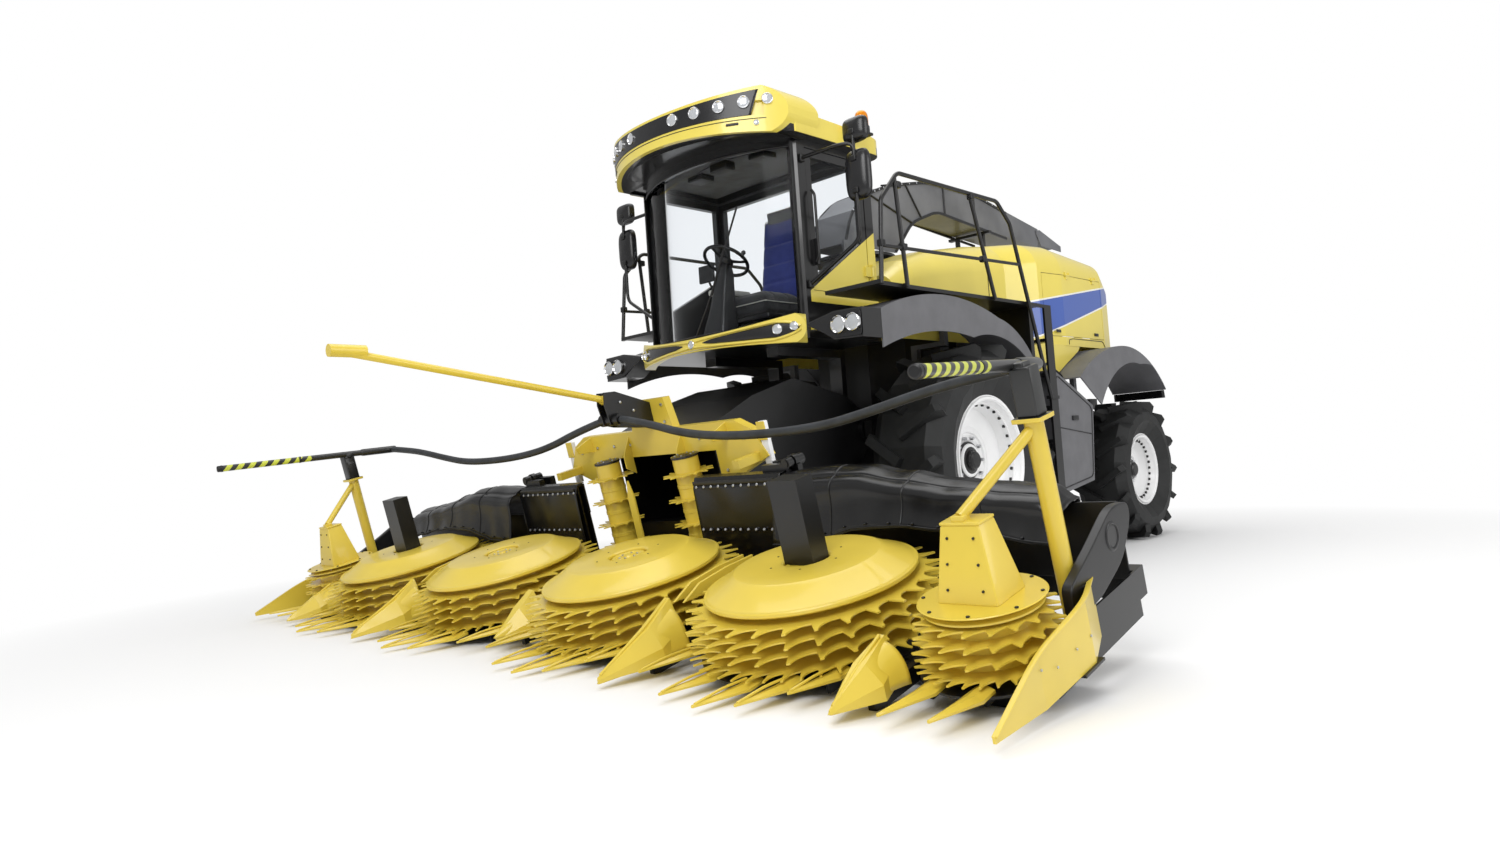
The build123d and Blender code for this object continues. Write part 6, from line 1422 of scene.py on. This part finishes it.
def make_tail():
    """Grille frame and tail lamps at the machine's rear."""
    corners = ((-0.91, 2.150), (0.91, 2.150), (0.91, 2.610), (-0.91, 2.610), (-0.91, 2.150))
    path = bent(machine([(x, 6.602, z) for x, z in corners]), 0.03)
    piece("grille_frame", [carried(path, circle(1.0, 10) * (0.012, 0.008), (0, 1, 0))], "trim", "chassis")
    for side, label in SIDES:
        box = soft_box((side * 0.70, 6.598, 1.985), (side * 0.84, 6.625, 2.052), 0.010)
        piece(f"tail_lamp_{label}_box", [box], "trim", "chassis")
        glow = soft_box((side * 0.712, 6.622, 1.994), (side * 0.828, 6.632, 2.044), 0.006)
        piece(f"tail_lamp_{label}", [glow], "red", "chassis")


# ---------------------------------------------------------------- the add-on
class HarvesterSizes(bpy.types.PropertyGroup):
    """Colours, sizes and lights of the harvester's looks"""
    hood_colour: FloatVectorProperty(name="Hood colour", description="Enamel of the hood and the cab's roof",
                                     subtype="COLOR", size=3, min=0, max=1, default=linear("#ead65c")[:3])
    header_colour: FloatVectorProperty(name="Header colour", description="Powder coat of the header's steel",
                                       subtype="COLOR", size=3, min=0, max=1, default=linear("#e3c848")[:3])
    accent_colour: FloatVectorProperty(name="Accent colour", description="Plain wedge on the hood's sides",
                                       subtype="COLOR", size=3, min=0, max=1, default=linear("#3c5cae")[:3])
    hose_radius: FloatProperty(name="Hose radius", description="Half the thickness of the hanging hoses",
                               subtype="DISTANCE", unit="LENGTH", default=0.028)
    nut_count: IntProperty(name="Wheel nuts", description="Nuts that hold each wheel", default=10,
                           min=4, max=20)
    world_light: FloatProperty(name="World light", default=0.55,
                               description="Strength of the even light from all round")
    key_light: FloatProperty(name="Key light", description="Power of the key panel in watts", default=620.0)


class Step:
    """What every operator of the add-on shares: it runs its own make() with the panel's values."""

    def execute(self, context):
        self.make(context.scene.harvester)
        return {"FINISHED"}


class HARVESTER_OT_camera(Step, bpy.types.Operator):
    """Place the camera"""
    bl_idname = "harvester.camera"
    bl_label = "Camera"

    def make(self, sizes):
        make_camera()


class HARVESTER_OT_finishes(Step, bpy.types.Operator):
    """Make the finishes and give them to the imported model's nodes"""
    bl_idname = "harvester.finishes"
    bl_label = "Finishes"

    def make(self, sizes):
        make_finishes(sizes)
        paint_nodes()


class HARVESTER_OT_hoses(Step, bpy.types.Operator):
    """Hang the two hoses from the boom's bracket to the wings"""
    bl_idname = "harvester.hoses"
    bl_label = "Hoses"

    def make(self, sizes):
        for side, label in SIDES:
            make_hose(side, label, sizes.hose_radius)


class HARVESTER_OT_rotors(Step, bpy.types.Operator):
    """Make the caps, hubs and bolts of the rotors and the feed drums"""
    bl_idname = "harvester.rotors"
    bl_label = "Rotors and drums"

    def make(self, sizes):
        for side, label in SIDES:
            make_large_rotor(f"centre_rotor_{label}", side * 0.5 * PITCH, True)
            make_large_rotor(f"wing_rotor_{label}", side * 1.5 * PITCH, False)
            make_small_rotor(f"end_rotor_{label}", side)
            make_drum(f"feed_drum_{label}", side)


class HARVESTER_OT_header(Step, bpy.types.Operator):
    """Make the header's covers, shields, towers, posts and crop rods"""
    bl_idname = "harvester.header"
    bl_label = "Header"

    def make(self, sizes):
        for side, label in SIDES:
            make_wing_cover(side, label)
            make_end_cover(side, label)
            make_guard_bar(side, label)
            make_shield(side, label)
            make_tower(side, label)
        make_aprons()
        make_splitter()
        make_bridge()
        make_points()
        make_dividers()
        make_posts()


class HARVESTER_OT_wheels(Step, bpy.types.Operator):
    """Make the dished rim faces, hubs and nuts of the four wheels"""
    bl_idname = "harvester.wheels"
    bl_label = "Wheels"

    def make(self, sizes):
        for side, label in SIDES:
            for end, *shape in FRONT_WHEEL, REAR_WHEEL:
                make_wheel(f"{end}_rim_{label}", f"{end}_wheel_{label}", side, *shape, sizes.nut_count)


class HARVESTER_OT_cab(Step, bpy.types.Operator):
    """Make the cab's visor, bumper, mirrors, seat, steering and gaskets"""
    bl_idname = "harvester.cab"
    bl_label = "Cab"

    def make(self, sizes):
        make_visor()
        make_headliner()
        make_bumper()
        make_mirrors()
        make_seat()
        make_steering()
        make_pillars()


class HARVESTER_OT_body(Step, bpy.types.Operator):
    """Make the hood's seams, the service boxes' trim, the tail and the spout's ribs"""
    bl_idname = "harvester.body"
    bl_label = "Hood and spout"

    def make(self, sizes):
        make_hood_lines()
        make_box_lines()
        make_spout_ribs()
        make_tail()


class HARVESTER_OT_stage(Step, bpy.types.Operator):
    """Make the floor, the white world and the studio lights"""
    bl_idname = "harvester.stage"
    bl_label = "Stage"

    def make(self, sizes):
        make_stage(sizes)


STEPS = (HARVESTER_OT_camera, HARVESTER_OT_finishes, HARVESTER_OT_hoses, HARVESTER_OT_rotors,
         HARVESTER_OT_header, HARVESTER_OT_wheels, HARVESTER_OT_cab, HARVESTER_OT_body, HARVESTER_OT_stage)


class HARVESTER_PT_panel(bpy.types.Panel):
    """Values and steps of the harvester's looks"""
    bl_idname = "HARVESTER_PT_panel"
    bl_label = "Forage harvester"
    bl_space_type = "VIEW_3D"
    bl_region_type = "UI"
    bl_category = "Harvester"

    def draw(self, context):
        for name in HarvesterSizes.__annotations__:
            self.layout.prop(context.scene.harvester, name)
        for step in STEPS:
            self.layout.operator(step.bl_idname)


CLASSES = (HarvesterSizes, *STEPS, HARVESTER_PT_panel)


def register():
    """Register every class of the add-on and its values on the scene."""
    for kind in CLASSES:
        bpy.utils.register_class(kind)
    bpy.types.Scene.harvester = PointerProperty(type=HarvesterSizes)


def unregister():
    """Remove every class of the add-on and its values."""
    del bpy.types.Scene.harvester
    for kind in reversed(CLASSES):
        bpy.utils.unregister_class(kind)


def main():
    """Build the looks in order."""
    register()
    bpy.context.scene.view_settings.view_transform = "Standard"
    bpy.ops.harvester.camera()
    bpy.ops.harvester.finishes()
    bpy.ops.harvester.hoses()
    bpy.ops.harvester.rotors()
    bpy.ops.harvester.header()
    bpy.ops.harvester.wheels()
    bpy.ops.harvester.cab()
    bpy.ops.harvester.body()
    bpy.ops.harvester.stage()


if __name__ == "__main__":
    main()
